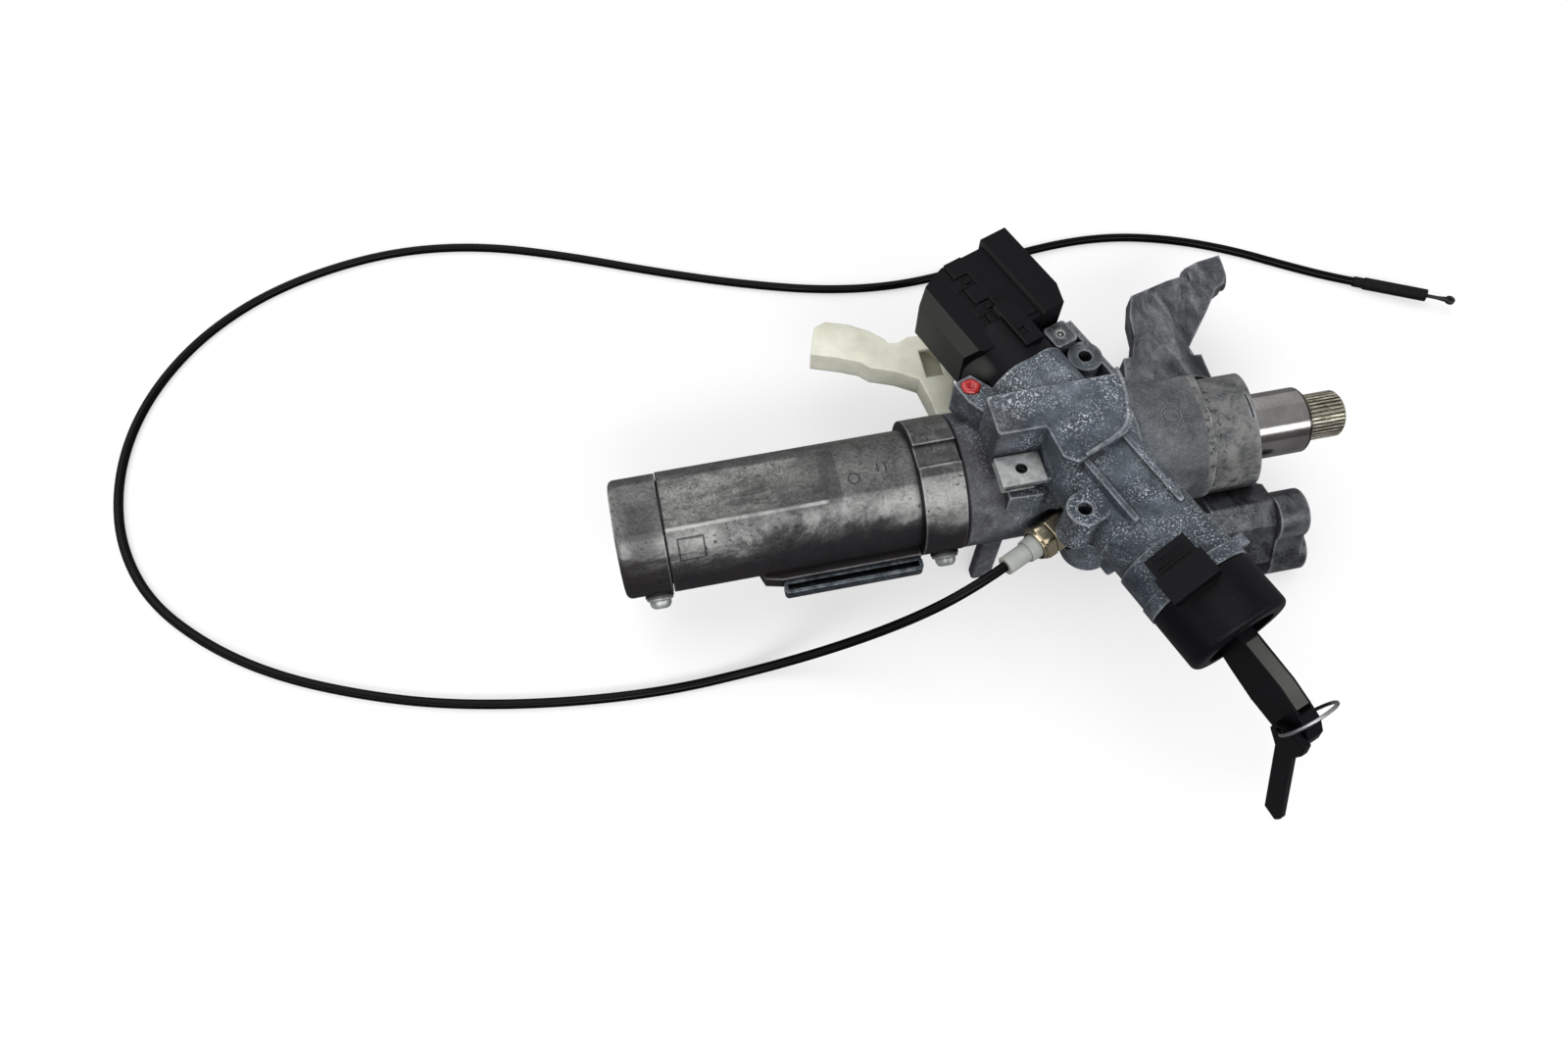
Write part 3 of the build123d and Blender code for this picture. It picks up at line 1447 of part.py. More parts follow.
# Interlock cable: nut, plastic sleeve, sliding pin, covered cable, end sleeve and bare wire
with BuildPart() as cable_nut:
    with BuildSketch(cable_plane(0)):
        RegularPolygon(nut_flats / 2, 6, major_radius=False, rotation=30)
    extrude(amount=nut_length)
    chamfer(cable_nut.edges().group_by(Axis(nut_seat, cable_dir))[-1], 0.8)
    with BuildSketch(cable_plane(0)):
        Circle(nut_spigot_r - fit_gap)
    extrude(amount=-nut_spigot_length)
    with BuildSketch(cable_plane(-nut_spigot_length)):
        Circle(wire_bore_r)
    extrude(amount=nut_length + nut_spigot_length + 1, mode=Mode.SUBTRACT)
save(cable_nut.part, "cable_nut")

with BuildPart() as cable_sleeve:
    with BuildSketch(cable_plane(nut_length)):
        Circle(sleeve_r)
    extrude(amount=sleeve_length, taper=sleeve_taper)
    with BuildSketch(cable_plane(nut_length + sleeve_length)):
        Circle(sleeve_step_r)
    extrude(amount=sleeve_step_length)
    with BuildSketch(cable_plane(nut_length)):
        Circle(wire_bore_r)
    extrude(amount=sleeve_length + sleeve_step_length, mode=Mode.SUBTRACT)
save(cable_sleeve.part, "cable_sleeve")

with BuildPart() as interlock_pin:
    with BuildSketch(cable_plane(pin_start)):
        Circle(pin_r)
    extrude(amount=-pin_length)
save(interlock_pin.part, "interlock_pin")

cable_exit = nut_length + sleeve_length + sleeve_step_length
cable_start = tuple(nut_seat[i] + cable_exit * cable_dir[i] for i in range(3))
cable_second = tuple(nut_seat[i] + (cable_exit + cable_straight) * cable_dir[i] for i in range(3))
cable_floor = bench_z + cable_r
cable_points = [cable_start, cable_second, *cable_bends]
cable_points += [(x, y, cable_floor) for x, y in cable_bench]
cable_points += [cable_end]


def bend_radii(points):
    """One radius for each inner point, from the shorter run beside it and half the turn."""
    radii = []
    for before, here, after in zip(points, points[1:], points[2:]):
        run_in = Vector(*here) - Vector(*before)
        run_out = Vector(*after) - Vector(*here)
        half_turn = math.radians(run_in.get_angle(run_out)) / 2
        radii.append(cable_bend_share * min(run_in.length, run_out.length) / math.tan(half_turn))
    return radii


with BuildPart() as interlock_cable:
    with BuildLine() as cable_route:
        FilletPolyline(*cable_points, radius=bend_radii(cable_points))
    with BuildSketch(Plane(origin=cable_route.line @ 0, z_dir=cable_route.line % 0)):
        Circle(cable_r)
    sweep()
save(interlock_cable.part, "interlock_cable")

end_dir = (cable_route.line % 1).normalized()
with BuildPart() as cable_end_sleeve:
    with BuildSketch(Plane(origin=cable_route.line @ 1, z_dir=end_dir)):
        Circle(end_sleeve_neck_r)
    extrude(amount=end_sleeve_neck)
    with BuildSketch(Plane(origin=cable_route.line @ 1 + end_dir * end_sleeve_neck, z_dir=end_dir)):
        Circle(end_sleeve_r)
    extrude(amount=end_sleeve_length)
    with BuildSketch(Plane(origin=cable_route.line @ 1, z_dir=end_dir)):
        Circle(wire_r + running_gap)
    extrude(amount=end_sleeve_neck + end_sleeve_length, mode=Mode.SUBTRACT)
save(cable_end_sleeve.part, "cable_end_sleeve")

wire_start = cable_route.line @ 1 + end_dir * (end_sleeve_neck + end_sleeve_length - wire_inside)
wire_tip = wire_start + end_dir * (wire_inside + wire_outside)
with BuildPart() as cable_wire_end:
    with BuildSketch(Plane(origin=wire_start, z_dir=end_dir)):
        Circle(wire_r)
    extrude(amount=wire_inside + wire_outside)
    with BuildSketch(Plane(origin=wire_tip, x_dir=end_dir, z_dir=(0, 0, 1))):
        with Locations((eyelet_r - 0.2, 0)):
            Circle(eyelet_r)
            Circle(eyelet_r - 2 * wire_r, mode=Mode.SUBTRACT)
    extrude(amount=wire_r, both=True)
save(cable_wire_end.part, "cable_wire_end")

# White harness duct, an open moulded tube behind the collar
with BuildPart() as harness_duct:
    with BuildSketch(Plane.XY.offset(duct_bottom)):
        Polygon(*duct_outline, align=None)
    extrude(amount=duct_top - duct_bottom)
    with BuildSketch(Plane.XY.offset(duct_bottom + duct_wall)):
        Polygon(*duct_outline, align=None)
        offset(amount=-duct_wall, mode=Mode.REPLACE)
        Polygon(*duct_mouth, align=None)
    extrude(amount=duct_top - duct_bottom - 2 * duct_wall, mode=Mode.SUBTRACT)
    # window under the switch's socket, where the wires leave
    with BuildSketch(Plane.XY.offset(duct_top)):
        with Locations(duct_window):
            Rectangle(duct_window_x, duct_window_y)
    extrude(amount=-duct_wall - 1, mode=Mode.SUBTRACT)
save(harness_duct.part, "harness_duct")
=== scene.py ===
import json
import math

import bmesh
import bpy
from mathutils import Matrix, Vector


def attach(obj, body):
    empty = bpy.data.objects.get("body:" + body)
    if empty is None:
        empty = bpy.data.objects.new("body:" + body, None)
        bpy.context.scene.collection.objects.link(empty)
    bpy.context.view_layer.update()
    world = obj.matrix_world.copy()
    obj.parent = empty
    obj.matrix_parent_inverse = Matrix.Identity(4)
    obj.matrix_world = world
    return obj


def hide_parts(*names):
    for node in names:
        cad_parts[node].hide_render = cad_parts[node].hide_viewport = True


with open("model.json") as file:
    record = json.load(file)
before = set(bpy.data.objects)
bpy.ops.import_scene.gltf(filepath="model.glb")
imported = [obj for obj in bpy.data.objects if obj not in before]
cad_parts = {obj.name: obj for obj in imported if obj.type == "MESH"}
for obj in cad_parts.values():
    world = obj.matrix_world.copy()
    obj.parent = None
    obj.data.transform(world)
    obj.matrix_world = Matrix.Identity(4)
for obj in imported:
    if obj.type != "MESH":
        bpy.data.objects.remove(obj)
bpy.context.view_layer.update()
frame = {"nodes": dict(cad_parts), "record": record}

nodes = frame["nodes"]
MM = 0.001

# Driving dimensions in millimetres, as in the part: x runs along the spindle from its tip, z is up
BENCH_Z = -42.0
SPLINE_END_X = -15.4
BOSS_X = -59.0
HOUSING_R = 25.0
BARREL_R = 17.5
PAD_TOP = 45.0
SEAM_X = -152.0
COLLAR_LENGTH = 16.0
COLLAR_X = SEAM_X - COLLAR_LENGTH
COLLAR_R = 25.2
COLLAR_FLAT_Z = 23.6
JACKET_END_X = -259.0
JACKET_R = 22.0
END_RING_R = 21.7
RAIL_X = -220.0

# The jacket's flat: its height, its ramp at the right end and its front edge
FLAT_Z = 19.7
FLAT_END_X = -196.6
FLAT_RAMP = 5.0
FLAT_X = FLAT_END_X - FLAT_RAMP
FLAT_EDGE_Y = -round(math.sqrt(JACKET_R**2 - FLAT_Z**2), 1)

# The lock axis: level, above the spindle axis and across it
LOCK_ANGLE = math.radians(-69.5)
LOCK = Vector((math.cos(LOCK_ANGLE), math.sin(LOCK_ANGLE), 0.0))
SIDE = Vector((-LOCK.y, LOCK.x, 0.0))
UP = Vector((0.0, 0.0, 1.0))
LOCK_ORIGIN = Vector((-115.0, 0.0, 26.0))

# The way that the housing's undersides with painted bounce light face: down and to the front
DOWN_IN_FRONT = (0.30, -0.70, -0.65)

# The two screwed lugs, as distances along the lock axis and to its side
RED_LUG = (-26.7, -21.0)
PLAIN_LUG = (-28.2, 20.2)
LUG_TOP = 34.0

# Faces that meet at a sharper angle than this keep a crisp or a rounded edge
EDGE_ANGLE = math.radians(38.0)


def lock_mm(along, side, up=0.0):
    """Point in millimetres from distances along the lock axis, to its side and above it."""
    return LOCK_ORIGIN + LOCK * along + SIDE * side + UP * up


# Shader helpers
def feed(tree, socket, value):
    """Gives a socket another node's output, a number or a colour."""
    if isinstance(value, bpy.types.NodeSocket):
        tree.links.new(value, socket)
    elif isinstance(value, (int, float)):
        socket.default_value = value
    else:
        socket.default_value = (*value, 1)


def add(tree, kind, **inputs):
    """New shader node; an input's name has _ for each space."""
    node = tree.nodes.new(kind)
    for key, value in inputs.items():
        node.inputs[key.replace("_", " ")].default_value = value
    return node


def math_node(tree, operation, a, b=0.0):
    node = tree.nodes.new("ShaderNodeMath")
    node.operation = operation
    feed(tree, node.inputs[0], a)
    feed(tree, node.inputs[1], b)
    return node.outputs[0]


def plus(tree, a, b):
    return math_node(tree, "ADD", a, b)


def minus(tree, a, b):
    return math_node(tree, "SUBTRACT", a, b)


def most(tree, a, b):
    return math_node(tree, "MAXIMUM", a, b)


def invert(tree, mask):
    return minus(tree, 1.0, mask)


def times(tree, *values):
    out = values[0]
    for value in values[1:]:
        out = math_node(tree, "MULTIPLY", out, value)
    return out


def ramp(tree, source, stops):
    """Grey values or colours over a source between 0 and 1."""
    node = tree.nodes.new("ShaderNodeValToRGB")
    while len(node.color_ramp.elements) < len(stops):
        node.color_ramp.elements.new(0.5)
    for element, (place, value) in zip(node.color_ramp.elements, stops):
        element.position = place
        element.color = (value, value, value, 1) if isinstance(value, (int, float)) else (*value, 1)
    feed(tree, node.inputs["Fac"], source)
    return node.outputs["Color"]


def noise_tex(tree, coords, scale, detail=4.0, rough=0.55, distort=0.0):
    node = add(tree, "ShaderNodeTexNoise", Scale=scale, Detail=detail, Roughness=rough, Distortion=distort)
    feed(tree, node.inputs["Vector"], coords)
    return node.outputs["Fac"]


def stretched(tree, coords, scale):
    """Coordinates for a pattern that is drawn out along an axis."""
    node = tree.nodes.new("ShaderNodeMapping")
    node.inputs["Scale"].default_value = scale
    feed(tree, node.inputs["Vector"], coords)
    return node.outputs["Vector"]


def mix_col(tree, mask, base, colour, blend="MIX"):
    """Lays a colour over a base where the mask is 1."""
    node = tree.nodes.new("ShaderNodeMix")
    node.data_type = "RGBA"
    node.blend_type = blend
    for socket, value in ((node.inputs[0], mask), (node.inputs[6], base), (node.inputs[7], colour)):
        feed(tree, socket, value)
    return node.outputs[2]


def layered(tree, base, layers):
    """Lays colours over a base one after the other, each through its mask."""
    for mask, colour in layers:
        base = mix_col(tree, mask, base, colour)
    return base


def scaled(tree, base, factors):
    return mix_col(tree, 1.0, base, factors, "MULTIPLY")


def mottled(tree, base, pattern, stops):
    """Darkens and lightens a colour by a ramp over a pattern."""
    return scaled(tree, base, ramp(tree, pattern, stops))


def span(tree, value, low, high):
    """0 at low, 1 at high, smooth between them and steady beyond; low may be the larger of the two."""
    node = tree.nodes.new("ShaderNodeMapRange")
    node.interpolation_type = "SMOOTHSTEP"
    node.clamp = True
    feed(tree, node.inputs["Value"], value)
    node.inputs["From Min"].default_value = min(low, high)
    node.inputs["From Max"].default_value = max(low, high)
    node.inputs["To Min"].default_value = 0.0 if low < high else 1.0
    node.inputs["To Max"].default_value = 1.0 if low < high else 0.0
    return node.outputs["Result"]


def zone(tree, value, low_mm, high_mm):
    """The span of a distance, with its two borders in millimetres."""
    return span(tree, value, low_mm * MM, high_mm * MM)


def band(tree, value, low_mm, inner_low_mm, inner_high_mm, high_mm):
    """1 between the two inner borders and 0 outside the outer ones."""
    rising = zone(tree, value, low_mm, inner_low_mm)
    falling = zone(tree, value, high_mm, inner_high_mm)
    return times(tree, rising, falling)


def apart(tree, value, place_mm):
    """Distance from a place along an axis."""
    return math_node(tree, "ABSOLUTE", minus(tree, value, place_mm * MM))


def axes(tree, coords):
    node = tree.nodes.new("ShaderNodeSeparateXYZ")
    feed(tree, node.inputs["Vector"], coords)
    return node.outputs["X"], node.outputs["Y"], node.outputs["Z"]


def reach(tree, vector, direction):
    """How far a vector reaches along a direction."""
    node = tree.nodes.new("ShaderNodeVectorMath")
    node.operation = "DOT_PRODUCT"
    feed(tree, node.inputs[0], vector)
    node.inputs[1].default_value = tuple(direction)
    return node.outputs["Value"]


def facing(tree, direction, low, high):
    """1 on faces that look along a direction."""
    normal = tree.nodes.new("ShaderNodeNewGeometry").outputs["Normal"]
    return span(tree, reach(tree, normal, direction), low, high)


def ao_mask(tree, distance_mm, inside=False):
    """1 on open surfaces, lower in crevices; with inside it is lower along outer edges."""
    node = add(tree, "ShaderNodeAmbientOcclusion", Distance=distance_mm * MM)
    node.samples = 6
    node.inside = inside
    node.only_local = inside
    return node.outputs["AO"]


def painted_crevice_shade(tree, base, crevice, distance_mm):
    """Paints shade into the crevices."""
    open_part = ramp(tree, ao_mask(tree, distance_mm), [(0.35, crevice), (0.92, 1.0)])
    return scaled(tree, base, open_part)


def edge_wear_and_highlight(tree, base, colour, amount, distance_mm, breakup):
    """Lightens the outer edges, partly as wear and partly as a painted highlight, broken up by a noise."""
    edge = ramp(tree, ao_mask(tree, distance_mm, inside=True), [(0.45, 1.0), (0.80, 0.0)])
    return mix_col(tree, times(tree, edge, breakup, amount), base, colour)


def start(name, rough, metallic, coat=0.0, specular=None):
    """New material with its shader tree, its surface node and the part's own coordinates."""
    material = bpy.data.materials.new(name)
    material.use_nodes = True
    tree = material.node_tree
    bsdf = tree.nodes["Principled BSDF"]
    bsdf.inputs["Metallic"].default_value = metallic
    bsdf.inputs["Roughness"].default_value = rough
    if coat:
        bsdf.inputs["Coat Weight"].default_value = coat
        bsdf.inputs["Coat Roughness"].default_value = 0.2
    if specular is not None:
        bsdf.inputs["Specular IOR Level"].default_value = specular
    coords = tree.nodes.new("ShaderNodeTexCoord").outputs["Object"]
    return material, tree, bsdf, coords


def surface(tree, bsdf, height, strength, depth_mm, bevel_mm=0.0):
    """Bumps from a height pattern, with the sharp edges smoothed over a small radius."""
    bump = add(tree, "ShaderNodeBump", Strength=strength, Distance=depth_mm * MM)
    feed(tree, bump.inputs["Height"], height)
    if bevel_mm:
        bevel = add(tree, "ShaderNodeBevel", Radius=bevel_mm * MM)
        bevel.samples = 6
        feed(tree, bump.inputs["Normal"], bevel.outputs["Normal"])
    feed(tree, bsdf.inputs["Normal"], bump.outputs["Normal"])


# Colour stops of the castings, from the dark to the light end of a noise
BLUE_ALLOY = [
    (0.34, (0.036, 0.047, 0.063)),
    (0.52, (0.086, 0.105, 0.129)),
    (0.68, (0.158, 0.182, 0.210)),
]
PLAIN_ALLOY = [
    (0.34, (0.048, 0.050, 0.056)),
    (0.52, (0.095, 0.099, 0.107)),
    (0.70, (0.155, 0.160, 0.168)),
]
ROUGH_ALLOY = [
    (0.36, (0.022, 0.024, 0.029)),
    (0.50, (0.080, 0.084, 0.094)),
    (0.64, (0.200, 0.206, 0.218)),
]
JACKET_ALLOY = [
    (0.34, (0.084, 0.083, 0.083)),
    (0.50, (0.138, 0.137, 0.135)),
    (0.66, (0.186, 0.184, 0.180)),
]
JOINT_BLACK = (0.008, 0.008, 0.009)


def boss_skin(tree, base, co, x, mid, upper):
    """Pale blotches on the bearing boss and dark specks round its step."""
    boss = zone(tree, x, BOSS_X - 3.2, BOSS_X - 2.2)
    step = zone(tree, x, BOSS_X + 5.5, BOSS_X + 3.0)
    blotches = ramp(tree, mid, [(0.38, 0.0), (0.60, 0.95)])
    crumbs = noise_tex(tree, co, scale=330.0, detail=6.0, rough=0.75, distort=0.6)
    specks = ramp(tree, crumbs, [(0.53, 0.0), (0.58, 1.0)])
    return layered(tree, base, [
        (times(tree, boss, blotches, upper), (0.215, 0.216, 0.206)),
        (times(tree, boss, step, upper, specks, 0.9), (0.016, 0.019, 0.017)),
    ])


def chalk_bloom(tree, base, co, near_lock):
    """White corrosion in specks and smears, thick near the lock and thin elsewhere."""
    clouds = noise_tex(tree, co, scale=52.0, detail=4.0, rough=0.6, distort=0.9)
    dots = noise_tex(tree, co, scale=1500.0, detail=2.0, rough=0.6)
    crusts = noise_tex(tree, co, scale=380.0, detail=7.0, rough=0.80, distort=1.2)
    patch = ramp(tree, clouds, [(0.42, 0.10), (0.62, 1.0)])
    specks = ramp(tree, dots, [(0.57, 0.0), (0.62, 1.0)])
    smear = ramp(tree, crusts, [(0.57, 0.0), (0.66, 1.0)])
    weight = plus(tree, times(tree, near_lock, 0.85), 0.14)
    return mix_col(tree, times(tree, most(tree, specks, smear), patch, weight), base, (0.60, 0.64, 0.68))


def cast_alloy(name):
    """Dull die casting: mottled blue grey near the lock, plain grey elsewhere, painted shade and dark oil
    low down, painted light under the front.
    """
    material, tree, bsdf, co = start(name, rough=0.55, metallic=0.35)
    x, y, z = axes(tree, co)
    broad = noise_tex(tree, co, scale=30.0, detail=6.0, rough=0.62, distort=0.7)
    mid = noise_tex(tree, co, scale=150.0, detail=8.0, rough=0.74, distort=0.4)
    fine = noise_tex(tree, co, scale=1000.0, detail=4.0, rough=0.72)
    drawn_out = stretched(tree, co, (1.6, 0.6, 1.6))
    streaks = noise_tex(tree, drawn_out, scale=60.0, detail=7.0, rough=0.70, distort=0.8)

    beside_lock = apart(tree, reach(tree, co, SIDE), LOCK_ORIGIN.dot(SIDE))
    near_lock = zone(tree, beside_lock, BARREL_R + 16.5, BARREL_R + 1.5)
    low = zone(tree, z, 1.0, -8.0)
    upper = invert(tree, low)
    behind = zone(tree, y, HOUSING_R - 1.0, HOUSING_R + 7.0)
    ears = times(tree, low, zone(tree, y, -8.0, -14.0), zone(tree, x, BOSS_X - 3.0, BOSS_X + 4.0))

    base = mix_col(tree, near_lock, ramp(tree, broad, PLAIN_ALLOY), ramp(tree, broad, BLUE_ALLOY))
    base = mix_col(tree, behind, base, ramp(tree, streaks, ROUGH_ALLOY))
    base = mottled(tree, base, mid, [(0.30, 0.50), (0.50, 1.0), (0.72, 1.55)])
    base = mottled(tree, base, fine, [(0.30, 0.62), (0.70, 1.34)])
    oil = ramp(tree, streaks, [(0.42, 1.0), (0.54, 0.0)])
    base = layered(tree, base, [
        # painted shade low down; dark oil on the ears
        (times(tree, low, invert(tree, behind), 0.14), (0.030, 0.032, 0.037)),
        (times(tree, ears, oil, 0.80), (0.012, 0.012, 0.014)),
    ])
    base = boss_skin(tree, base, co, x, mid, upper)

    # purple brown stain round the seam and the clip
    stain = ramp(tree, streaks, [(0.42, 0.0), (0.58, 0.60)])
    near_seam = zone(tree, x, SEAM_X + 28.0, SEAM_X + 12.0)
    base = mix_col(tree, times(tree, near_seam, stain), base, (0.038, 0.036, 0.043))
    base = chalk_bloom(tree, base, co, near_lock)
    breakup = ramp(tree, mid, [(0.35, 0.20), (0.60, 1.0)])
    # outer edges lightened: wear and a painted highlight
    base = edge_wear_and_highlight(tree, base, (0.46, 0.48, 0.51), amount=0.90, distance_mm=1.4, breakup=breakup)

    # painted light on the undersides in front, as if bounced up from the bench
    painted_bounce = times(tree, facing(tree, DOWN_IN_FRONT, low=0.25, high=0.75), zone(tree, y, 12.0, 0.0))
    base = mix_col(tree, painted_bounce, base, scaled(tree, base, (1.75, 1.75, 1.75)))
    # painted shade in the crevices
    base = painted_crevice_shade(tree, base, crevice=0.22, distance_mm=5.0)
    seam = zone(tree, x, SEAM_X + 0.9, SEAM_X + 0.4)
    base = mix_col(tree, times(tree, seam, 0.90), base, JOINT_BLACK)
    feed(tree, bsdf.inputs["Base Color"], base)

    dull = ramp(tree, mid, [(0.3, 0.42), (0.7, 0.68)])
    feed(tree, bsdf.inputs["Roughness"], minus(tree, dull, times(tree, ears, 0.22)))
    lumps = noise_tex(tree, co, scale=130.0, detail=4.0, rough=0.55)
    grains = noise_tex(tree, co, scale=1300.0, detail=3.0, rough=0.6)
    height = plus(tree, times(tree, grains, 0.35), lumps)
    surface(tree, bsdf, height, strength=0.55, depth_mm=0.8, bevel_mm=1.1)
    return material


# Middles of the marks on the jacket: the frame's in x and z, the others' in x and y
FRAME_MARK = (-250.5, 14.75)
RING_MARK = (-190.5, -3.5)
RING_MARK_R = 1.9
STROKES_MARK = (-180.0, -1.0)
STROKE_FROM_MIDDLE = 1.4


def jacket_marks(tree, x, y, z):
    """Shallow plain marks: a square frame low in front, a small ring and two strokes on top."""
    frame_x = apart(tree, x, FRAME_MARK[0])
    frame_z = apart(tree, z, FRAME_MARK[1])
    in_front = zone(tree, y, 0.0, -2.0)
    frame_out = times(tree, zone(tree, frame_x, 4.9, 4.7), zone(tree, frame_z, 3.2, 3.0), in_front)
    frame_in = times(tree, zone(tree, frame_x, 4.3, 4.1), zone(tree, frame_z, 2.8, 2.6))
    frame_mark = times(tree, frame_out, invert(tree, frame_in))

    on_top = zone(tree, z, 10.0, 12.0)
    ring_x = apart(tree, x, RING_MARK[0])
    ring_y = apart(tree, y, RING_MARK[1])
    squares = plus(tree, times(tree, ring_x, ring_x), times(tree, ring_y, ring_y))
    from_ring = apart(tree, math_node(tree, "SQRT", squares), RING_MARK_R)
    ring_mark = times(tree, zone(tree, from_ring, 0.35, 0.18), on_top)

    stroke_x = apart(tree, apart(tree, x, STROKES_MARK[0]), STROKE_FROM_MIDDLE)
    stroke_y = apart(tree, y, STROKES_MARK[1])
    strokes = times(tree, zone(tree, stroke_x, 0.40, 0.22), zone(tree, stroke_y, 1.9, 1.7), on_top)
    return most(tree, frame_mark, most(tree, ring_mark, strokes))


def jacket_joints(tree, x):
    """Thin lines where the jacket meets the housing, its own collar and the end ring."""
    at_seam = zone(tree, x, SEAM_X - 0.9, SEAM_X - 0.5)
    at_collar = band(tree, x, COLLAR_X - 1.0, COLLAR_X - 0.3, COLLAR_X - 0.1, COLLAR_X + 0.2)
    end_x = JACKET_END_X
    at_end = band(tree, x, end_x - 0.6, end_x - 0.3, end_x + 0.3, end_x + 0.7)
    return most(tree, most(tree, at_seam, at_collar), at_end)


def jacket_flat(tree, base, co, flat):
    """The flat is paler and duller than the round, with dirt in streaks."""
    drawn_out = stretched(tree, co, (0.5, 1.6, 1.0))
    dirt = noise_tex(tree, drawn_out, scale=85.0, detail=8.0, rough=0.74, distort=0.6)
    streaks = ramp(tree, dirt, [(0.36, 0.75), (0.56, 0.05)])
    base = mix_col(tree, flat, base, scaled(tree, base, (2.0, 2.0, 1.97)))
    return mix_col(tree, times(tree, flat, streaks), base, (0.042, 0.041, 0.041))


def jacket_sheen_shade_and_stain(tree, base, x, y, z, wave, blotch, mid):
    """A painted highlight band before the flat, painted shade on the ramp at its end and a stain on the end
    ring.
    """
    in_patches = ramp(tree, blotch, [(0.36, 0.15), (0.56, 1.0)])
    # painted highlight: a band of sheen just before the flat's front edge
    sheen_band_front = zone(tree, y, FLAT_EDGE_Y + 1.3, FLAT_EDGE_Y - 0.2)
    painted_sheen_band = times(tree, zone(tree, wave, 12.5, 15.5), sheen_band_front, in_patches)
    ramp_span = band(tree, x, FLAT_X - 22.4, FLAT_X - 1.4, FLAT_END_X + 0.4, FLAT_END_X + 1.4)
    shade = times(tree, zone(tree, z, FLAT_Z - 0.9, FLAT_Z - 0.2), ramp_span)
    end_x = JACKET_END_X
    on_ring = band(tree, x, end_x - 15.0, end_x - 11.0, end_x - 6.0, end_x - 1.0)
    stain = times(tree, on_ring, zone(tree, y, 6.0, 0.0), zone(tree, z, 10.0, 16.0))
    return layered(tree, base, [
        (times(tree, painted_sheen_band, ramp(tree, mid, [(0.35, 0.15), (0.6, 1.0)]), 0.62), (0.46, 0.46, 0.45)),
        (times(tree, shade, 0.60), (0.045, 0.044, 0.046)),
        (times(tree, stain, ramp(tree, mid, [(0.35, 0.3), (0.6, 1.0)]), 0.70), (0.030, 0.029, 0.032)),
    ])


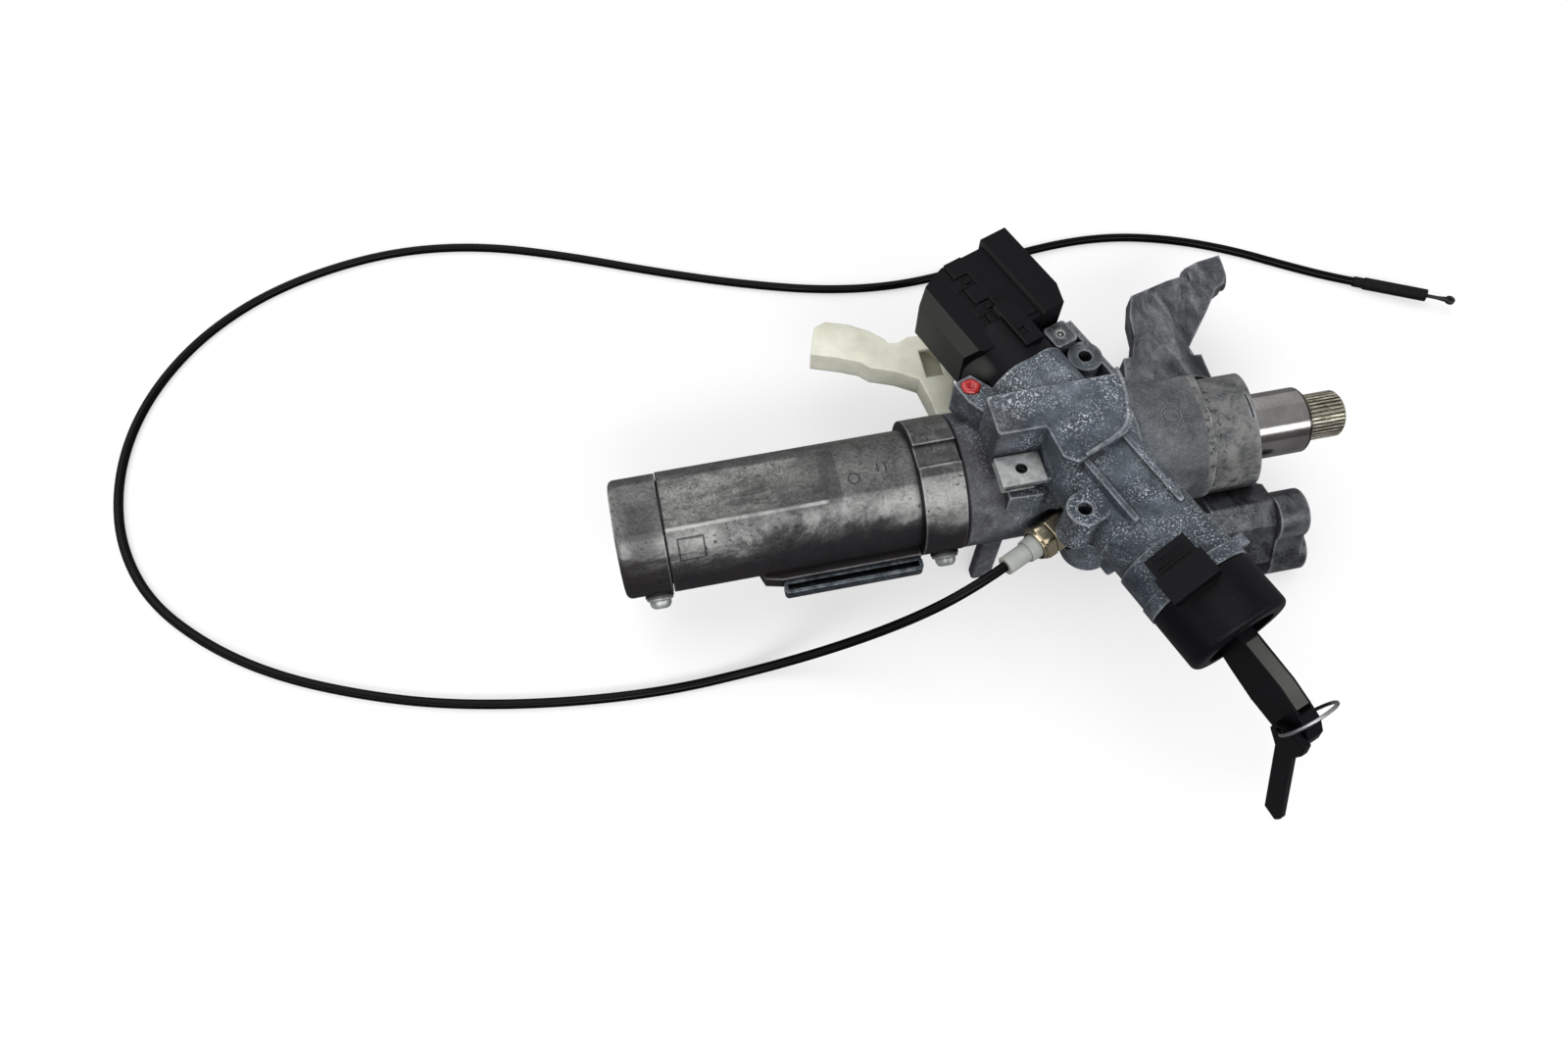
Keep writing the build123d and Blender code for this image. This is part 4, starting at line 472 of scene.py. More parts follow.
def worn_jacket(name):
    """Cast tube in bare alloy: grainy satin metal with black pores, painted shade low in front and painted
    highlights near the flat.
    """
    material, tree, bsdf, co = start(name, rough=0.42, metallic=0.75)
    x, y, z = axes(tree, co)
    drawn_out = stretched(tree, co, (0.7, 1.0, 1.0))
    blotch = noise_tex(tree, drawn_out, scale=26.0, detail=7.0, rough=0.66, distort=0.8)
    mid = noise_tex(tree, co, scale=190.0, detail=9.0, rough=0.80, distort=0.5)
    grain = noise_tex(tree, co, scale=1100.0, detail=3.0, rough=0.75)
    base = ramp(tree, blotch, JACKET_ALLOY)
    base = mottled(tree, base, mid, [(0.30, 0.45), (0.50, 1.0), (0.70, 1.50)])
    base = mottled(tree, base, grain, [(0.32, 0.55), (0.68, 1.38)])

    # painted shade over the lower front, wavering at its upper border
    wave = plus(tree, z, times(tree, minus(tree, blotch, 0.5), 30.0 * MM))
    low = times(tree, zone(tree, wave, 18.0, 8.0), zone(tree, y, -4.0, -14.0))
    base = mix_col(tree, times(tree, low, 0.91), base, (0.024, 0.022, 0.026))
    flat = times(tree, zone(tree, z, FLAT_Z - 0.7, FLAT_Z - 0.2), zone(tree, x, FLAT_X + 0.6, FLAT_X - 1.4))
    base = jacket_flat(tree, base, co, flat)
    base = jacket_sheen_shade_and_stain(tree, base, x, y, z, wave, blotch, mid)
    pores = ramp(tree, noise_tex(tree, co, scale=620.0, detail=3.0, rough=0.7), [(0.61, 0.0), (0.66, 1.0)])
    in_groups = ramp(tree, noise_tex(tree, co, scale=48.0, detail=3.0), [(0.46, 0.0), (0.57, 0.85)])
    pores = times(tree, pores, in_groups)

    # painted highlight along the flat's front edge, darker panel on the collar, a warm tone in the dark
    # lower front
    flat_edge_highlight = band(tree, y, FLAT_EDGE_Y - 0.8, FLAT_EDGE_Y - 0.2, FLAT_EDGE_Y + 0.4, FLAT_EDGE_Y + 1.0)
    beside_flat = zone(tree, z, FLAT_Z - 0.9, FLAT_Z - 0.5)
    flat_edge_highlight = times(tree, flat_edge_highlight, beside_flat, zone(tree, x, FLAT_X + 1.6, FLAT_X - 1.4))
    panel_top = zone(tree, z, COLLAR_FLAT_Z - 0.15, COLLAR_FLAT_Z - 0.05)
    panel = times(tree, panel_top, zone(tree, x, COLLAR_X - 0.5, COLLAR_X + 0.2))
    clouds = noise_tex(tree, co, scale=38.0, detail=3.0, rough=0.6, distort=0.5)
    warm = ramp(tree, clouds, [(0.52, 0.0), (0.70, 0.55)])
    base = layered(tree, base, [
        (pores, (0.014, 0.013, 0.015)),
        (times(tree, flat_edge_highlight, ramp(tree, blotch, [(0.38, 0.35), (0.54, 1.0)])), (0.62, 0.62, 0.61)),
        (times(tree, panel, ramp(tree, mid, [(0.34, 0.95), (0.60, 0.35)])), (0.044, 0.045, 0.048)),
        (times(tree, warm, low), (0.052, 0.038, 0.040)),
    ])

    # the wall is thin at the flat, which would count as an edge all over
    off_flat = invert(tree, times(tree, beside_flat, zone(tree, x, FLAT_X + 3.1, FLAT_X + 1.6)))
    breakup = times(tree, off_flat, ramp(tree, mid, [(0.35, 0.35), (0.6, 1.0)]))
    # outer edges lightened: wear and a painted highlight
    base = edge_wear_and_highlight(tree, base, (0.58, 0.58, 0.57), amount=0.8, distance_mm=1.2, breakup=breakup)
    # painted shade in the crevices
    base = painted_crevice_shade(tree, base, crevice=0.10, distance_mm=3.0)
    marks = jacket_marks(tree, x, y, z)
    base = layered(tree, base, [
        (times(tree, marks, 0.72), (0.020, 0.020, 0.021)),
        (times(tree, jacket_joints(tree, x), 0.90), JOINT_BLACK),
    ])
    feed(tree, bsdf.inputs["Base Color"], base)

    satin = ramp(tree, mid, [(0.3, 0.34), (0.7, 0.58)])
    feed(tree, bsdf.inputs["Roughness"], plus(tree, satin, times(tree, most(tree, low, flat), 0.16)))
    height = plus(tree, times(tree, grain, 0.45), minus(tree, mid, times(tree, pores, 0.5)))
    height = minus(tree, height, times(tree, marks, 0.8))
    surface(tree, bsdf, height, strength=0.50, depth_mm=0.5, bevel_mm=0.5)
    return material


def metal(name, colour, rough, worn=0.0, scale=300.0):
    """Turned, drawn or plated metal with a fine grain and a few stains."""
    material, tree, bsdf, co = start(name, rough=rough, metallic=1.0)
    grain = noise_tex(tree, co, scale=scale, detail=4.0, rough=0.6)
    base = mottled(tree, colour, grain, [(0.3, 0.78), (0.7, 1.12)])
    if worn:
        clouds = noise_tex(tree, co, scale=110.0, detail=6.0, rough=0.7, distort=0.8)
        stain = ramp(tree, clouds, [(0.48, 0.0), (0.68, worn)])
        base = mix_col(tree, stain, base, (0.08, 0.075, 0.07))
    # painted shade in the crevices
    feed(tree, bsdf.inputs["Base Color"], painted_crevice_shade(tree, base, crevice=0.3, distance_mm=3.0))
    satin = [(0.3, max(0.05, rough - 0.08)), (0.7, rough + 0.1)]
    feed(tree, bsdf.inputs["Roughness"], ramp(tree, grain, satin))
    surface(tree, bsdf, grain, strength=0.08, depth_mm=0.3, bevel_mm=0.3)
    return material


PALE_ZINC = [
    (0.32, (0.24, 0.255, 0.25)),
    (0.50, (0.43, 0.455, 0.445)),
    (0.70, (0.56, 0.59, 0.58)),
]
DARK_ZINC = [
    (0.34, (0.030, 0.037, 0.045)),
    (0.55, (0.095, 0.115, 0.135)),
    (0.72, (0.26, 0.29, 0.32)),
]


def zinc_sheet(name):
    """Plated sheet and screws: pale and satin on the clip, dark and bluish on the guide channel."""
    material, tree, bsdf, co = start(name, rough=0.40, metallic=0.45)
    x, _, z = axes(tree, co)
    mottle = noise_tex(tree, co, scale=260.0, detail=7.0, rough=0.7, distort=0.5)
    along_rail = band(tree, x, RAIL_X - 6.0, RAIL_X - 2.0, COLLAR_X + 2.0, COLLAR_X + 5.0)
    channel = times(tree, along_rail, zone(tree, z, -4.0, -6.0))
    base = mix_col(tree, channel, ramp(tree, mottle, PALE_ZINC), ramp(tree, mottle, DARK_ZINC))
    feed(tree, bsdf.inputs["Metallic"], plus(tree, times(tree, channel, 0.40), 0.45))
    breakup = ramp(tree, mottle, [(0.4, 0.2), (0.6, 1.0)])
    # outer edges lightened: wear and a painted highlight
    base = edge_wear_and_highlight(tree, base, (0.62, 0.65, 0.66), amount=0.55, distance_mm=0.6, breakup=breakup)
    # painted shade in the crevices
    feed(tree, bsdf.inputs["Base Color"], painted_crevice_shade(tree, base, crevice=0.10, distance_mm=4.0))
    surface(tree, bsdf, mottle, strength=0.16, depth_mm=0.3, bevel_mm=0.3)
    return material


POLISHED_SEAT = [
    (0.35, (0.40, 0.375, 0.365)),
    (0.65, (0.56, 0.545, 0.53)),
]
BRASSY_TIP = [
    (0.34, (0.25, 0.22, 0.155)),
    (0.50, (0.62, 0.575, 0.46)),
    (0.66, (0.95, 0.90, 0.78)),
]


def turned_spindle(name):
    """Polished bearing seat with a faint warm stain, and a brassier tip, with painted shade in its groove
    and crevices.
    """
    material, tree, bsdf, co = start(name, rough=0.12, metallic=1.0)
    x, _, _ = axes(tree, co)
    rings = noise_tex(tree, stretched(tree, co, (40.0, 1.0, 1.0)), scale=40.0, detail=3.0, rough=0.6)
    cloud = noise_tex(tree, co, scale=75.0, detail=5.0, rough=0.6, distort=0.6)
    streaks = noise_tex(tree, stretched(tree, co, (5.0, 34.0, 34.0)), scale=30.0, detail=5.0, rough=0.75)
    on_tip = zone(tree, x, SPLINE_END_X - 0.8, SPLINE_END_X + 0.4)
    base = mix_col(tree, on_tip, ramp(tree, cloud, POLISHED_SEAT), ramp(tree, streaks, BRASSY_TIP))
    base = mottled(tree, base, rings, [(0.3, 0.90), (0.7, 1.06)])
    end_x = SPLINE_END_X
    # painted shade in the groove between the seat and the tip
    groove = band(tree, x, end_x - 1.8, end_x - 1.4, end_x - 0.8, end_x - 0.4)
    base = mix_col(tree, times(tree, groove, 0.85), base, (0.022, 0.021, 0.020))
    # painted shade in the crevices
    feed(tree, bsdf.inputs["Base Color"], painted_crevice_shade(tree, base, crevice=0.10, distance_mm=1.2))
    feed(tree, bsdf.inputs["Roughness"], plus(tree, times(tree, on_tip, 0.14), 0.13))
    surface(tree, bsdf, rings, strength=0.03, depth_mm=0.1, bevel_mm=0.4)
    return material


def plastic(
    name,
    colour,
    rough,
    grain=1400.0,
    bump=0.12,
    dust_and_lit_side=0.0,
    bevel_mm=0.5,
    coat=0.0,
    subsurface=0.0,
    specular=0.3,
    crevice=0.45,
):
    """Moulded plastic: fine grain, slight tone change and, if asked, dust spots and painted light on the
    left side.
    """
    material, tree, bsdf, co = start(name, rough=rough, metallic=0.0, coat=coat, specular=specular)
    clouds = noise_tex(tree, co, scale=55.0, detail=4.0, rough=0.6)
    base = mottled(tree, colour, clouds, [(0.3, 0.80), (0.7, 1.18)])
    if dust_and_lit_side:
        _, y, _ = axes(tree, co)
        # painted light on the left side, which faces the light
        painted_lit_side = times(tree, facing(tree, -SIDE, low=0.62, high=0.82), zone(tree, y, 18.0, 22.0))
        motes = noise_tex(tree, co, scale=900.0, detail=3.0, rough=0.8)
        spots = ramp(tree, motes, [(0.64, 0.0), (0.74, dust_and_lit_side)])
        base = layered(tree, base, [(painted_lit_side, (0.040, 0.040, 0.038)), (spots, (0.40, 0.40, 0.42))])
    if crevice < 1.0:
        # painted shade in the crevices
        base = painted_crevice_shade(tree, base, crevice=crevice, distance_mm=4.0)
    feed(tree, bsdf.inputs["Base Color"], base)
    if subsurface:
        bsdf.inputs["Subsurface Weight"].default_value = subsurface
        bsdf.inputs["Subsurface Radius"].default_value = Vector((4.0, 4.0, 3.0)) * MM
        bsdf.inputs["Subsurface Scale"].default_value = 1.0
    fine = noise_tex(tree, co, scale=grain, detail=2.0, rough=0.5)
    satin = [(0.3, max(0.05, rough - 0.06)), (0.7, rough + 0.08)]
    feed(tree, bsdf.inputs["Roughness"], ramp(tree, fine, satin))
    surface(tree, bsdf, fine, strength=bump, depth_mm=0.2, bevel_mm=bevel_mm)
    return material


# Values of the plainer metals and of the plastics, by material
METALS = {
    "bearing_steel": {"colour": (0.42, 0.43, 0.44), "rough": 0.25, "worn": 0.1},
    "cylinder_zinc": {"colour": (0.36, 0.36, 0.37), "rough": 0.4, "worn": 0.2},
    "yellow_zinc": {"colour": (0.70, 0.60, 0.42), "rough": 0.22, "worn": 0.18, "scale": 200.0},
    "terminal_brass": {"colour": (0.66, 0.50, 0.24), "rough": 0.3},
    "coil_copper": {"colour": (0.55, 0.24, 0.12), "rough": 0.35},
    "key_nickel": {"colour": (0.52, 0.50, 0.46), "rough": 0.28, "worn": 0.2},
    "dark_wire": {"colour": (0.045, 0.042, 0.040), "rough": 0.42},
}
PLASTICS = {
    "black_plastic": {
        "colour": (0.0026, 0.0024, 0.0038),
        "rough": 0.42,
        "grain": 1500.0,
        "dust_and_lit_side": 0.05,
        "specular": 0.13,
    },
    "grey_plastic": {"colour": (0.070, 0.070, 0.064), "rough": 0.42},
    "white_plastic": {
        "colour": (0.42, 0.435, 0.405),
        "rough": 0.38,
        "grain": 900.0,
        "bump": 0.06,
        "bevel_mm": 0.4,
        "subsurface": 0.3,
    },
    "ivory_plastic": {
        "colour": (0.70, 0.70, 0.585),
        "rough": 0.42,
        "grain": 700.0,
        "bump": 0.06,
        "bevel_mm": 1.0,
        "subsurface": 0.5,
        "crevice": 0.55,
    },
    "bush_plastic": {"colour": (0.05, 0.05, 0.05), "rough": 0.5},
    "cable_black": {
        "colour": (0.0018, 0.0018, 0.0022),
        "rough": 0.20,
        "grain": 220.0,
        "bump": 0.02,
        "bevel_mm": 0.0,
        "specular": 0.11,
        "crevice": 1.0,
    },
    "end_rubber": {
        "colour": (0.0095, 0.0085, 0.0085),
        "rough": 0.62,
        "grain": 500.0,
        "bump": 0.25,
        "bevel_mm": 0.4,
        "specular": 0.10,
        "crevice": 1.0,
    },
    "red_lacquer": {
        "colour": (0.43, 0.010, 0.010),
        "rough": 0.16,
        "grain": 420.0,
        "bump": 0.6,
        "bevel_mm": 0.4,
        "coat": 0.6,
        "specular": 0.5,
        "crevice": 0.15,
    },
    "glass_chip": {"colour": (0.02, 0.03, 0.028), "rough": 0.1, "grain": 300.0, "bump": 0.02},
}

MATS = {
    "cast_alloy": cast_alloy("cast_alloy"),
    "jacket_alloy": worn_jacket("jacket_alloy"),
    "zinc_steel": zinc_sheet("zinc_steel"),
    "spindle_steel": turned_spindle("spindle_steel"),
}
for name, values in METALS.items():
    MATS[name] = metal(name, **values)
for name, values in PLASTICS.items():
    MATS[name] = plastic(name, **values)

slot_of = {s["node"]: s["material_slot"] for s in frame["record"]["subparts"]}
for name, obj in nodes.items():
    obj.data.materials.clear()
    obj.data.materials.append(MATS[slot_of[name]])
nodes["cable_end_sleeve"].data.materials[0] = MATS["end_rubber"]
nodes["cable_wire_end"].data.materials[0] = MATS["dark_wire"]

# Rounded edges of the moulded pieces, as a radius in millimetres
ROUNDED = {
    "harness_duct": 1.1,
    "switch_case": 0.7,
    "switch_cover": 0.5,
    "key_head": 0.8,
    "spare_key": 0.5,
    "cable_end_sleeve": 1.3,
}


def soften(obj, radius_mm):
    """Joins the triangles of flat faces and rounds the outer edges between them."""
    weld = obj.modifiers.new("weld", "WELD")
    weld.merge_threshold = 0.02 * MM
    flat_faces = obj.modifiers.new("flat_faces", "DECIMATE")
    flat_faces.decimate_type = "DISSOLVE"
    flat_faces.angle_limit = math.radians(3.0)
    edges = obj.modifiers.new("edges", "BEVEL")
    edges.width = radius_mm * MM
    edges.segments = 3
    edges.limit_method = "ANGLE"
    edges.angle_limit = EDGE_ANGLE


for name, radius_mm in ROUNDED.items():
    soften(nodes[name], radius_mm)


# Piece helpers
def place(obj, body, slot):
    """Shows a new piece with a slot's material and lets it ride on a body."""
    bpy.context.scene.collection.objects.link(obj)
    if not obj.data.materials:
        obj.data.materials.append(MATS[slot])
    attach(obj, body)
    return obj


def nurbs(name, points_mm, radius_mm):
    """Round cord along a NURBS line whose control points are given in millimetres."""
    data = bpy.data.curves.new(name, "CURVE")
    data.dimensions = "3D"
    data.bevel_depth = radius_mm * MM
    data.bevel_resolution = 5
    data.resolution_u = 14
    data.use_fill_caps = True
    spline = data.splines.new("NURBS")
    spline.points.add(len(points_mm) - 1)
    for point, place_mm in zip(spline.points, points_mm):
        point.co = (*(Vector(place_mm) * MM), 1.0)
    spline.order_u = 3
    spline.use_endpoint_u = True
    return bpy.data.objects.new(name, data)


def skin(mesh, rings, bored=False):
    """Closes a row of vertex rings into a solid skin, capped at its ends or joined through a bore."""
    count = len(rings[0])
    pairs = list(zip(rings, rings[1:]))
    if bored:
        pairs.append((rings[-1], rings[0]))
    else:
        mesh.faces.new(tuple(reversed(rings[0])))
        mesh.faces.new(tuple(rings[-1]))
    for lower, upper in pairs:
        for i in range(count):
            j = (i + 1) % count
            mesh.faces.new((lower[i], lower[j], upper[j], upper[i]))


def turned(mesh, centre, axis, profile, radius_at, steps=72, start_dir=None, bored=False):
    """Adds a turned form: the profile lists radius, height and shape depth in millimetres."""
    side = (start_dir or axis.orthogonal()).normalized()
    other = axis.cross(side)
    rings = []
    for radius, height, depth in profile:
        ring = []
        for i in range(steps):
            angle = 2 * math.pi * i / steps
            spoke = side * math.cos(angle) + other * math.sin(angle)
            where = centre + axis * height + spoke * radius_at(radius, depth, angle)
            ring.append(mesh.verts.new(where * MM))
        rings.append(ring)
    skin(mesh, rings, bored)


def bar(mesh, centre, along, across, size, chamfer):
    """Adds a low bar with a chamfered top; centre is the middle of its foot."""
    length, width, height = size
    up = along.cross(across)
    rings = []
    for inset, level in ((0.0, 0.0), (0.0, height - chamfer), (chamfer, height)):
        ring = []
        for a, b in ((-1, -1), (1, -1), (1, 1), (-1, 1)):
            corner = along * a * (length / 2 - inset) + across * b * (width / 2 - inset)
            ring.append(mesh.verts.new((centre + corner + up * level) * MM))
        rings.append(ring)
    skin(mesh, rings)


def finish_mesh(name, mesh, body, slot):
    """Turns a built mesh into a shown piece with crisp edges."""
    bmesh.ops.recalc_face_normals(mesh, faces=mesh.faces)
    data = bpy.data.meshes.new(name)
    mesh.to_mesh(data)
    mesh.free()
    for face in data.polygons:
        face.use_smooth = True
    data.set_sharp_from_angle(angle=EDGE_ANGLE)
    return place(bpy.data.objects.new(name, data), body, slot)


# Outlines of turned forms: each gives the radius at an angle for a radius and a shape depth
def lobed(lobes):
    return lambda radius, depth, angle: radius + depth * math.cos(lobes * angle)


def even(radius, depth, angle):
    return radius


def uneven(radius, depth, angle):
    wave = 0.5 + 0.28 * math.sin(2 * angle + 0.6) + 0.22 * math.sin(5 * angle + 2.1)
    return radius - depth * wave


# Domed clamp screws with a flange, a softly six sided head and a lobed recess
CLAMP_ANGLE = math.radians(208.0)
CLAMP_DIR = Vector((0.0, math.cos(CLAMP_ANGLE), math.sin(CLAMP_ANGLE)))
CLAMP_SEAT = 1.2
CLAMP_BASES = (
    (JACKET_END_X - 5.8, END_RING_R + CLAMP_SEAT),
    (COLLAR_X + 9.2, COLLAR_R + CLAMP_SEAT),
)
CLAMP_PROFILE = [
    (2.5, -7.0, 0.0),
    (2.5, 0.0, 0.0),
    (4.75, 0.05, 0.0),
    (4.9, 0.35, 0.0),
    (4.85, 0.75, 0.0),
    (4.45, 1.1, 0.0),
    (3.85, 1.25, 0.16),
    (3.75, 2.4, 0.22),
    (3.45, 3.2, 0.20),
    (2.9, 3.85, 0.10),
    (2.35, 4.12, 0.0),
    (1.95, 4.15, 0.10),
    (1.70, 3.95, 0.20),
    (1.55, 2.2, 0.20),
    (0.7, 1.9, 0.0),
]
clamp_mesh = bmesh.new()
for screw_x, screw_base in CLAMP_BASES:
    seat = Vector((screw_x, 0.0, 0.0)) + CLAMP_DIR * screw_base
    turned(clamp_mesh, seat, CLAMP_DIR, CLAMP_PROFILE, lobed(6))
clamp_heads = finish_mesh("domed_clamp_screws", clamp_mesh, "housing", "zinc_steel")
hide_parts("clamp_screws")

# Lacquer seal: an uneven drop with a dent, over the shank of its screw
SEAL_PROFILE = [
    (2.0, -12.0, 0.0),
    (2.0, 0.0, 0.0),
    (3.5, 0.0, 0.55),
    (3.6, 0.25, 0.50),
    (3.5, 0.60, 0.65),
    (3.1, 0.95, 0.60),
    (2.5, 1.15, 0.45),
    (1.9, 1.16, 0.35),
    (1.3, 0.95, 0.30),
    (0.8, 0.55, 0.20),
    (0.3, 0.40, 0.0),
]
lug_rise = LUG_TOP - LOCK_ORIGIN.z
seal_mesh = bmesh.new()
turned(seal_mesh, lock_mm(*RED_LUG, lug_rise), UP, SEAL_PROFILE, uneven, steps=60)
seal = finish_mesh("lacquer_seal", seal_mesh, "housing", "red_lacquer")
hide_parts("sealed_screw")

# Plain screw end in the other lug, with a ring groove and a small pin in a lobed recess
PLAIN_PROFILE = [
    (2.0, -12.0, 0.0),
    (2.0, -0.25, 0.0),
    (1.85, 0.0, 0.0),
    (1.45, 0.0, 0.0),
    (1.30, -0.15, 0.10),
    (1.20, -0.9, 0.12),
    (0.65, -0.95, 0.0),
    (0.55, -0.40, 0.0),
    (0.30, -0.30, 0.0),
]
plain_mesh = bmesh.new()
turned(plain_mesh, lock_mm(*PLAIN_LUG, lug_rise), UP, PLAIN_PROFILE, lobed(6), steps=60)
plain_screw = finish_mesh("plain_lug_screw", plain_mesh, "housing", slot_of["switch_screw"])
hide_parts("switch_screw")

# Collar of the cable nut: the hexagon runs on over the sleeve and ends in a round lip
NUT_SEAT = Vector((-116.4, -27.6, 5.0))
NUT_FLATS = 12.0
CABLE_ANGLE = math.radians(204.5)
CABLE_DIR = Vector((math.cos(CABLE_ANGLE), math.sin(CABLE_ANGLE), 0.0))


def off_axis(vertex):
    """From the nut's axis to one of its corners, in millimetres."""
    arm = vertex.co / MM - NUT_SEAT
    return arm - CABLE_DIR * arm.dot(CABLE_DIR)


def hexagon(radius, depth, angle):
    """The six sided outline, cut back by depth, never outside the radius."""
    turn = math.pi / 6 - angle % (math.pi / 3)
    return min(radius, (NUT_FLATS / 2 - depth) / math.cos(turn))


NUT_PROFILE = [
    (5.08, 10.52, 0.0),
    (6.55, 10.52, 0.0),
    (6.93, 10.95, 0.0),
    (6.93, 14.3, 0.0),
    (6.35, 14.75, 0.0),
    (5.85, 14.8, 0.35),
    (5.75, 15.7, 0.45),
    (5.5, 15.9, 0.6),
    (5.08, 15.9, 0.9),
]
nut_corner = off_axis(max(nodes["cable_nut"].data.vertices, key=lambda v: off_axis(v).length))
nut_mesh = bmesh.new()
turned(nut_mesh, NUT_SEAT, CABLE_DIR, NUT_PROFILE, hexagon, steps=96, start_dir=nut_corner, bored=True)
finish_mesh("cable_nut_collar", nut_mesh, "housing", slot_of["cable_nut"])

# The cable's route: out of the nut, down to the bench, round in a wide loop and up a little at its end
CABLE_Z = -40.15
CABLE_ROUTE = [
    (-143.244, -39.833, 5.0),
    (-156.893, -46.054, 5.0),
    (-177.0, -48.2, -7.0),
    (-202.7, -45.7, -27.0),
    (-234.0, -44.0, CABLE_Z),
    (-270.0, -45.5, CABLE_Z),
    (-310.0, -42.0, CABLE_Z),
    (-350.0, -34.5, CABLE_Z),
    (-382.0, -24.0, CABLE_Z),
    (-413.0, -10.0, CABLE_Z),
    (-439.0, 8.0, CABLE_Z),
    (-461.0, 31.0, CABLE_Z),
    (-473.0, 58.0, CABLE_Z),
    (-476.0, 86.0, CABLE_Z),
    (-471.5, 113.0, CABLE_Z),
    (-460.0, 137.0, CABLE_Z),
    (-442.0, 158.0, CABLE_Z),
    (-417.0, 174.5, CABLE_Z),
    (-386.0, 184.5, CABLE_Z),
    (-353.0, 188.0, CABLE_Z),
    (-318.0, 183.0, CABLE_Z),
    (-282.0, 170.0, CABLE_Z),
    (-244.0, 153.0, CABLE_Z),
    (-206.0, 138.0, CABLE_Z),
    (-168.0, 126.5, CABLE_Z),
    (-132.0, 123.0, CABLE_Z),
    (-96.0, 128.0, CABLE_Z),
    (-62.0, 132.5, CABLE_Z),
    (-34.0, 131.5, CABLE_Z),
    (-8.0, 124.5, CABLE_Z),
    (16.0, 113.5, CABLE_Z),
    (38.0, 99.5, CABLE_Z),
    (54.0, 90.0, CABLE_Z),
    (63.5, 84.5, -39.3),
]

# Thick neck and swaged eye on the cable's inner wire, which starts inside the end sleeve
# Its start is given from the cable's end, and the eye's middle from the wire's tip
WIRE_START_AT = 19.0
WIRE_LENGTH = 20.0
EYE_AT = 1.9
cable_end = Vector(CABLE_ROUTE[-1])
end_dir = (cable_end - Vector(CABLE_ROUTE[-2])).normalized()
wire_start = cable_end + end_dir * WIRE_START_AT
wire_tip = wire_start + end_dir * WIRE_LENGTH
wire_eye = wire_tip + Vector((end_dir.x, end_dir.y, 0.0)).normalized() * EYE_AT
NECK_PROFILE = [
    (0.78, 1.0, 0.0),
    (0.80, 16.5, 0.0),
    (0.95, 18.2, 0.0),
    (1.15, 19.6, 0.0),
    (0.95, 20.4, 0.0),
]
EYE_PROFILE = [
    (0.55, -0.55, 0.0),
    (0.95, -0.85, 0.0),
    (1.65, -0.85, 0.0),
    (2.02, -0.50, 0.0),
    (2.08, 0.0, 0.0),
    (2.02, 0.50, 0.0),
    (1.65, 0.85, 0.0),
    (0.95, 0.85, 0.0),
    (0.55, 0.55, 0.0),
]
eye_mesh = bmesh.new()
turned(eye_mesh, wire_start, (wire_eye - wire_start).normalized(), NECK_PROFILE, even, steps=32)
turned(eye_mesh, wire_eye, UP, EYE_PROFILE, even, steps=48, bored=True)
swaged_eye = finish_mesh("swaged_wire_eye", eye_mesh, "wire_end", slot_of["cable_wire_end"])
swaged_eye.data.materials[0] = MATS["dark_wire"]

# Raised cast bead along the pad's front edge, sunk a little into its top
BEAD_R = 0.75
BEAD_Z = PAD_TOP - 0.1
PAD_EDGE = [
    (-96.2, 8.5, BEAD_Z),
    (-95.8, 4.4, BEAD_Z),
    (-96.4, -2.0, BEAD_Z),
    (-98.2, -10.6, BEAD_Z),
    (-101.6, -15.6, BEAD_Z),
    (-108.0, -18.9, BEAD_Z),
    (-117.6, -22.9, BEAD_Z),
]
place(nurbs("pad_edge_bead", PAD_EDGE, BEAD_R), "housing", "cast_alloy")

# Thin ribs and a small square on the aerial's leaning connector
LEAN = math.radians(30.0)
ACROSS = SIDE * math.cos(LEAN) + UP * math.sin(LEAN)
OUTWARD = UP * math.cos(LEAN) - SIDE * math.sin(LEAN)
CONNECTOR_TOP = 25.6
RIB_COUNT = 4
FIRST_RIB = 63.6
RIB_PITCH = 1.2
RIB_SIZE = (11.5, 0.55, 0.35)
SQUARE_AT = (62.2, -4.4)
SQUARE_SIZE = (2.2, 1.6, 0.25)
rib_mesh = bmesh.new()
for number in range(RIB_COUNT):
    foot = lock_mm(FIRST_RIB + number * RIB_PITCH, 0.0) + OUTWARD * CONNECTOR_TOP
    bar(rib_mesh, foot, ACROSS, LOCK, RIB_SIZE, 0.12)
foot = lock_mm(SQUARE_AT[0], 0.0) + OUTWARD * CONNECTOR_TOP + ACROSS * SQUARE_AT[1]
bar(rib_mesh, foot, ACROSS, LOCK, SQUARE_SIZE, 0.1)
finish_mesh("connector_ribs", rib_mesh, "housing", "black_plastic")

# The cable's smooth cover
CABLE_R = 1.85
cable = nurbs("interlock_cable_cover", CABLE_ROUTE, CABLE_R)
place(cable, "housing", "cable_black")
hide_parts("interlock_cable")

# Camera, as fitted to the photo: its place in metres and its three directions
CAMERA_AT = (-0.25506, -0.198839, 0.38)
RIGHT = Vector((0.980144, -0.198287, 0.0))
ABOVE = Vector((0.175883, 0.869398, 0.461749))
AHEAD = Vector((0.091559, 0.45258, -0.887011))
camera_data = bpy.data.cameras.new("camera")
camera_data.lens = 27.0
camera_data.sensor_width = 36.0
camera_data.clip_start = 0.01
camera_data.clip_end = 20.0
camera = bpy.data.objects.new("camera", camera_data)
bpy.context.scene.collection.objects.link(camera)
turn = Matrix((RIGHT, ABOVE, -AHEAD)).transposed()
camera.matrix_world = Matrix.Translation(CAMERA_AT) @ turn.to_4x4()
bpy.context.scene.camera = camera

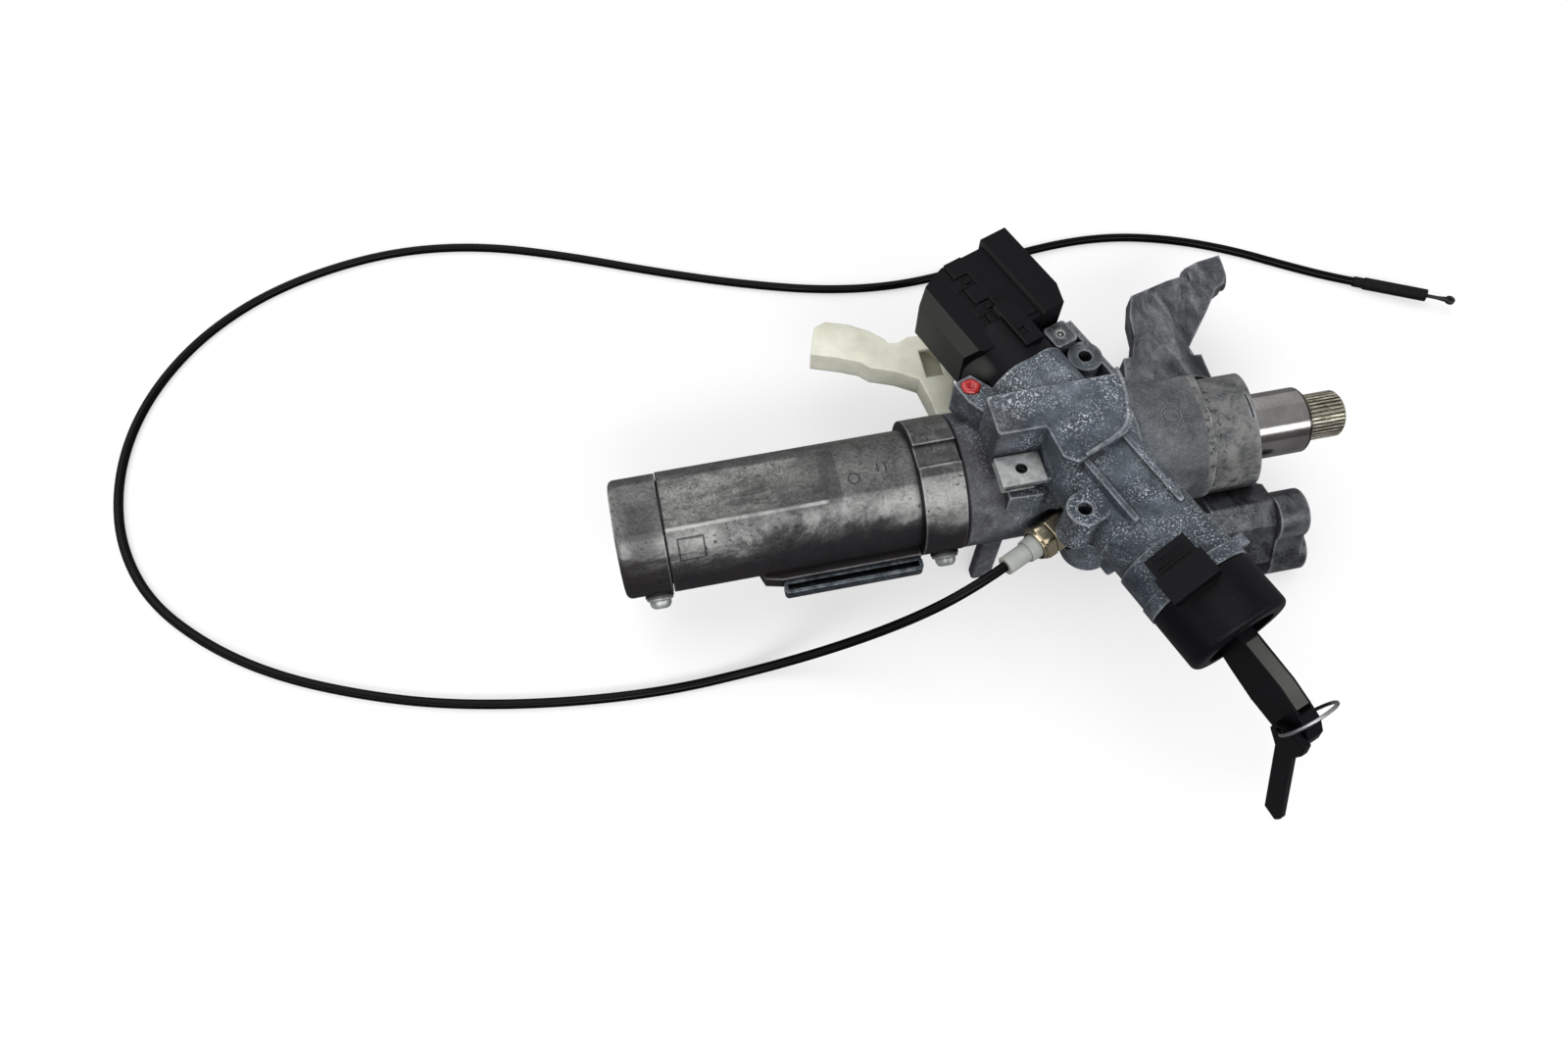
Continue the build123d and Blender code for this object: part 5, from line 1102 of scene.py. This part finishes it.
# Floor: white paper lit from below for the camera, a dim bench for reflections and bounced light
FLOOR_HALF = 6.0
floor_corners = [
    (a * FLOOR_HALF, b * FLOOR_HALF, BENCH_Z * MM)
    for a, b in ((-1, -1), (1, -1), (1, 1), (-1, 1))
]
floor_data = bpy.data.meshes.new("floor")
floor_data.from_pydata(floor_corners, [], [(0, 1, 2, 3)])
floor = bpy.data.objects.new("floor", floor_data)
bpy.context.scene.collection.objects.link(floor)
paper, paper_tree, paper_bsdf, _ = start("floor_paper", rough=0.9, metallic=0.0, specular=0.0)
floor_seen = paper_tree.nodes.new("ShaderNodeLightPath").outputs["Is Camera Ray"]
paper_tone = mix_col(paper_tree, floor_seen, (0.20, 0.20, 0.205), (0.50, 0.50, 0.50))
feed(paper_tree, paper_bsdf.inputs["Base Color"], paper_tone)
paper_bsdf.inputs["Emission Color"].default_value = (1.0, 1.0, 1.0, 1)
feed(paper_tree, paper_bsdf.inputs["Emission Strength"], times(paper_tree, floor_seen, 0.50))
floor_data.materials.append(paper)

# Room: grey, with a long softbox above the front and a dark side behind the camera, but white to the camera
ROOM_WHITE = (0.34, 0.34, 0.34)
ROOM_STRENGTH = 3.0

# Brightness once round the spindle axis: from straight below over the back to above, then down the front
STUDIO = [
    (0.000, 0.17),
    (0.250, 0.17),
    (0.360, 0.19),
    (0.450, 0.125),
    (0.570, 0.125),
    (0.608, 0.100),
    (0.622, 0.95),
    (0.660, 0.95),
    (0.678, 0.05),
    (0.760, 0.03),
    (0.820, 0.08),
    (1.000, 0.17),
]
world = bpy.data.worlds.new("studio")
bpy.context.scene.world = world
world.use_nodes = True
sky = world.node_tree
background = sky.nodes["Background"]
_, sky_y, sky_z = axes(sky, sky.nodes.new("ShaderNodeTexCoord").outputs["Generated"])
tilt = math_node(sky, "ARCTAN2", times(sky, sky_y, -1.0), sky_z)
studio = ramp(sky, plus(sky, times(sky, tilt, 0.5 / math.pi), 0.5), STUDIO)
sky_seen = sky.nodes.new("ShaderNodeLightPath").outputs["Is Camera Ray"]
feed(sky, background.inputs["Color"], mix_col(sky, sky_seen, studio, ROOM_WHITE))
background.inputs["Strength"].default_value = ROOM_STRENGTH

# Lights, which look at the middle of the part
PART_MIDDLE = Vector((-0.15, 0.0, 0.0))


def area_light(name, where, size, power, size_y=None):
    """Adds a soft light; its place and size are in metres and its power in watts."""
    data = bpy.data.lights.new(name, "AREA")
    data.energy = power
    data.size = size
    if size_y:
        data.shape = "RECTANGLE"
        data.size_y = size_y
    lamp = bpy.data.objects.new(name, data)
    bpy.context.scene.collection.objects.link(lamp)
    lamp.location = where
    lamp.rotation_mode = "QUATERNION"
    lamp.rotation_quaternion = (PART_MIDDLE - Vector(where)).to_track_quat("-Z", "Y")


area_light("key_light", (-0.6, 0.5, 1.3), size=1.8, power=13.0)
area_light("front_light", (-0.1, -1.2, 0.9), size=1.2, power=6.0, size_y=0.5)

scene = bpy.context.scene
scene.view_settings.view_transform = "Standard"
scene.view_settings.look = "None"
scene.render.film_transparent = False
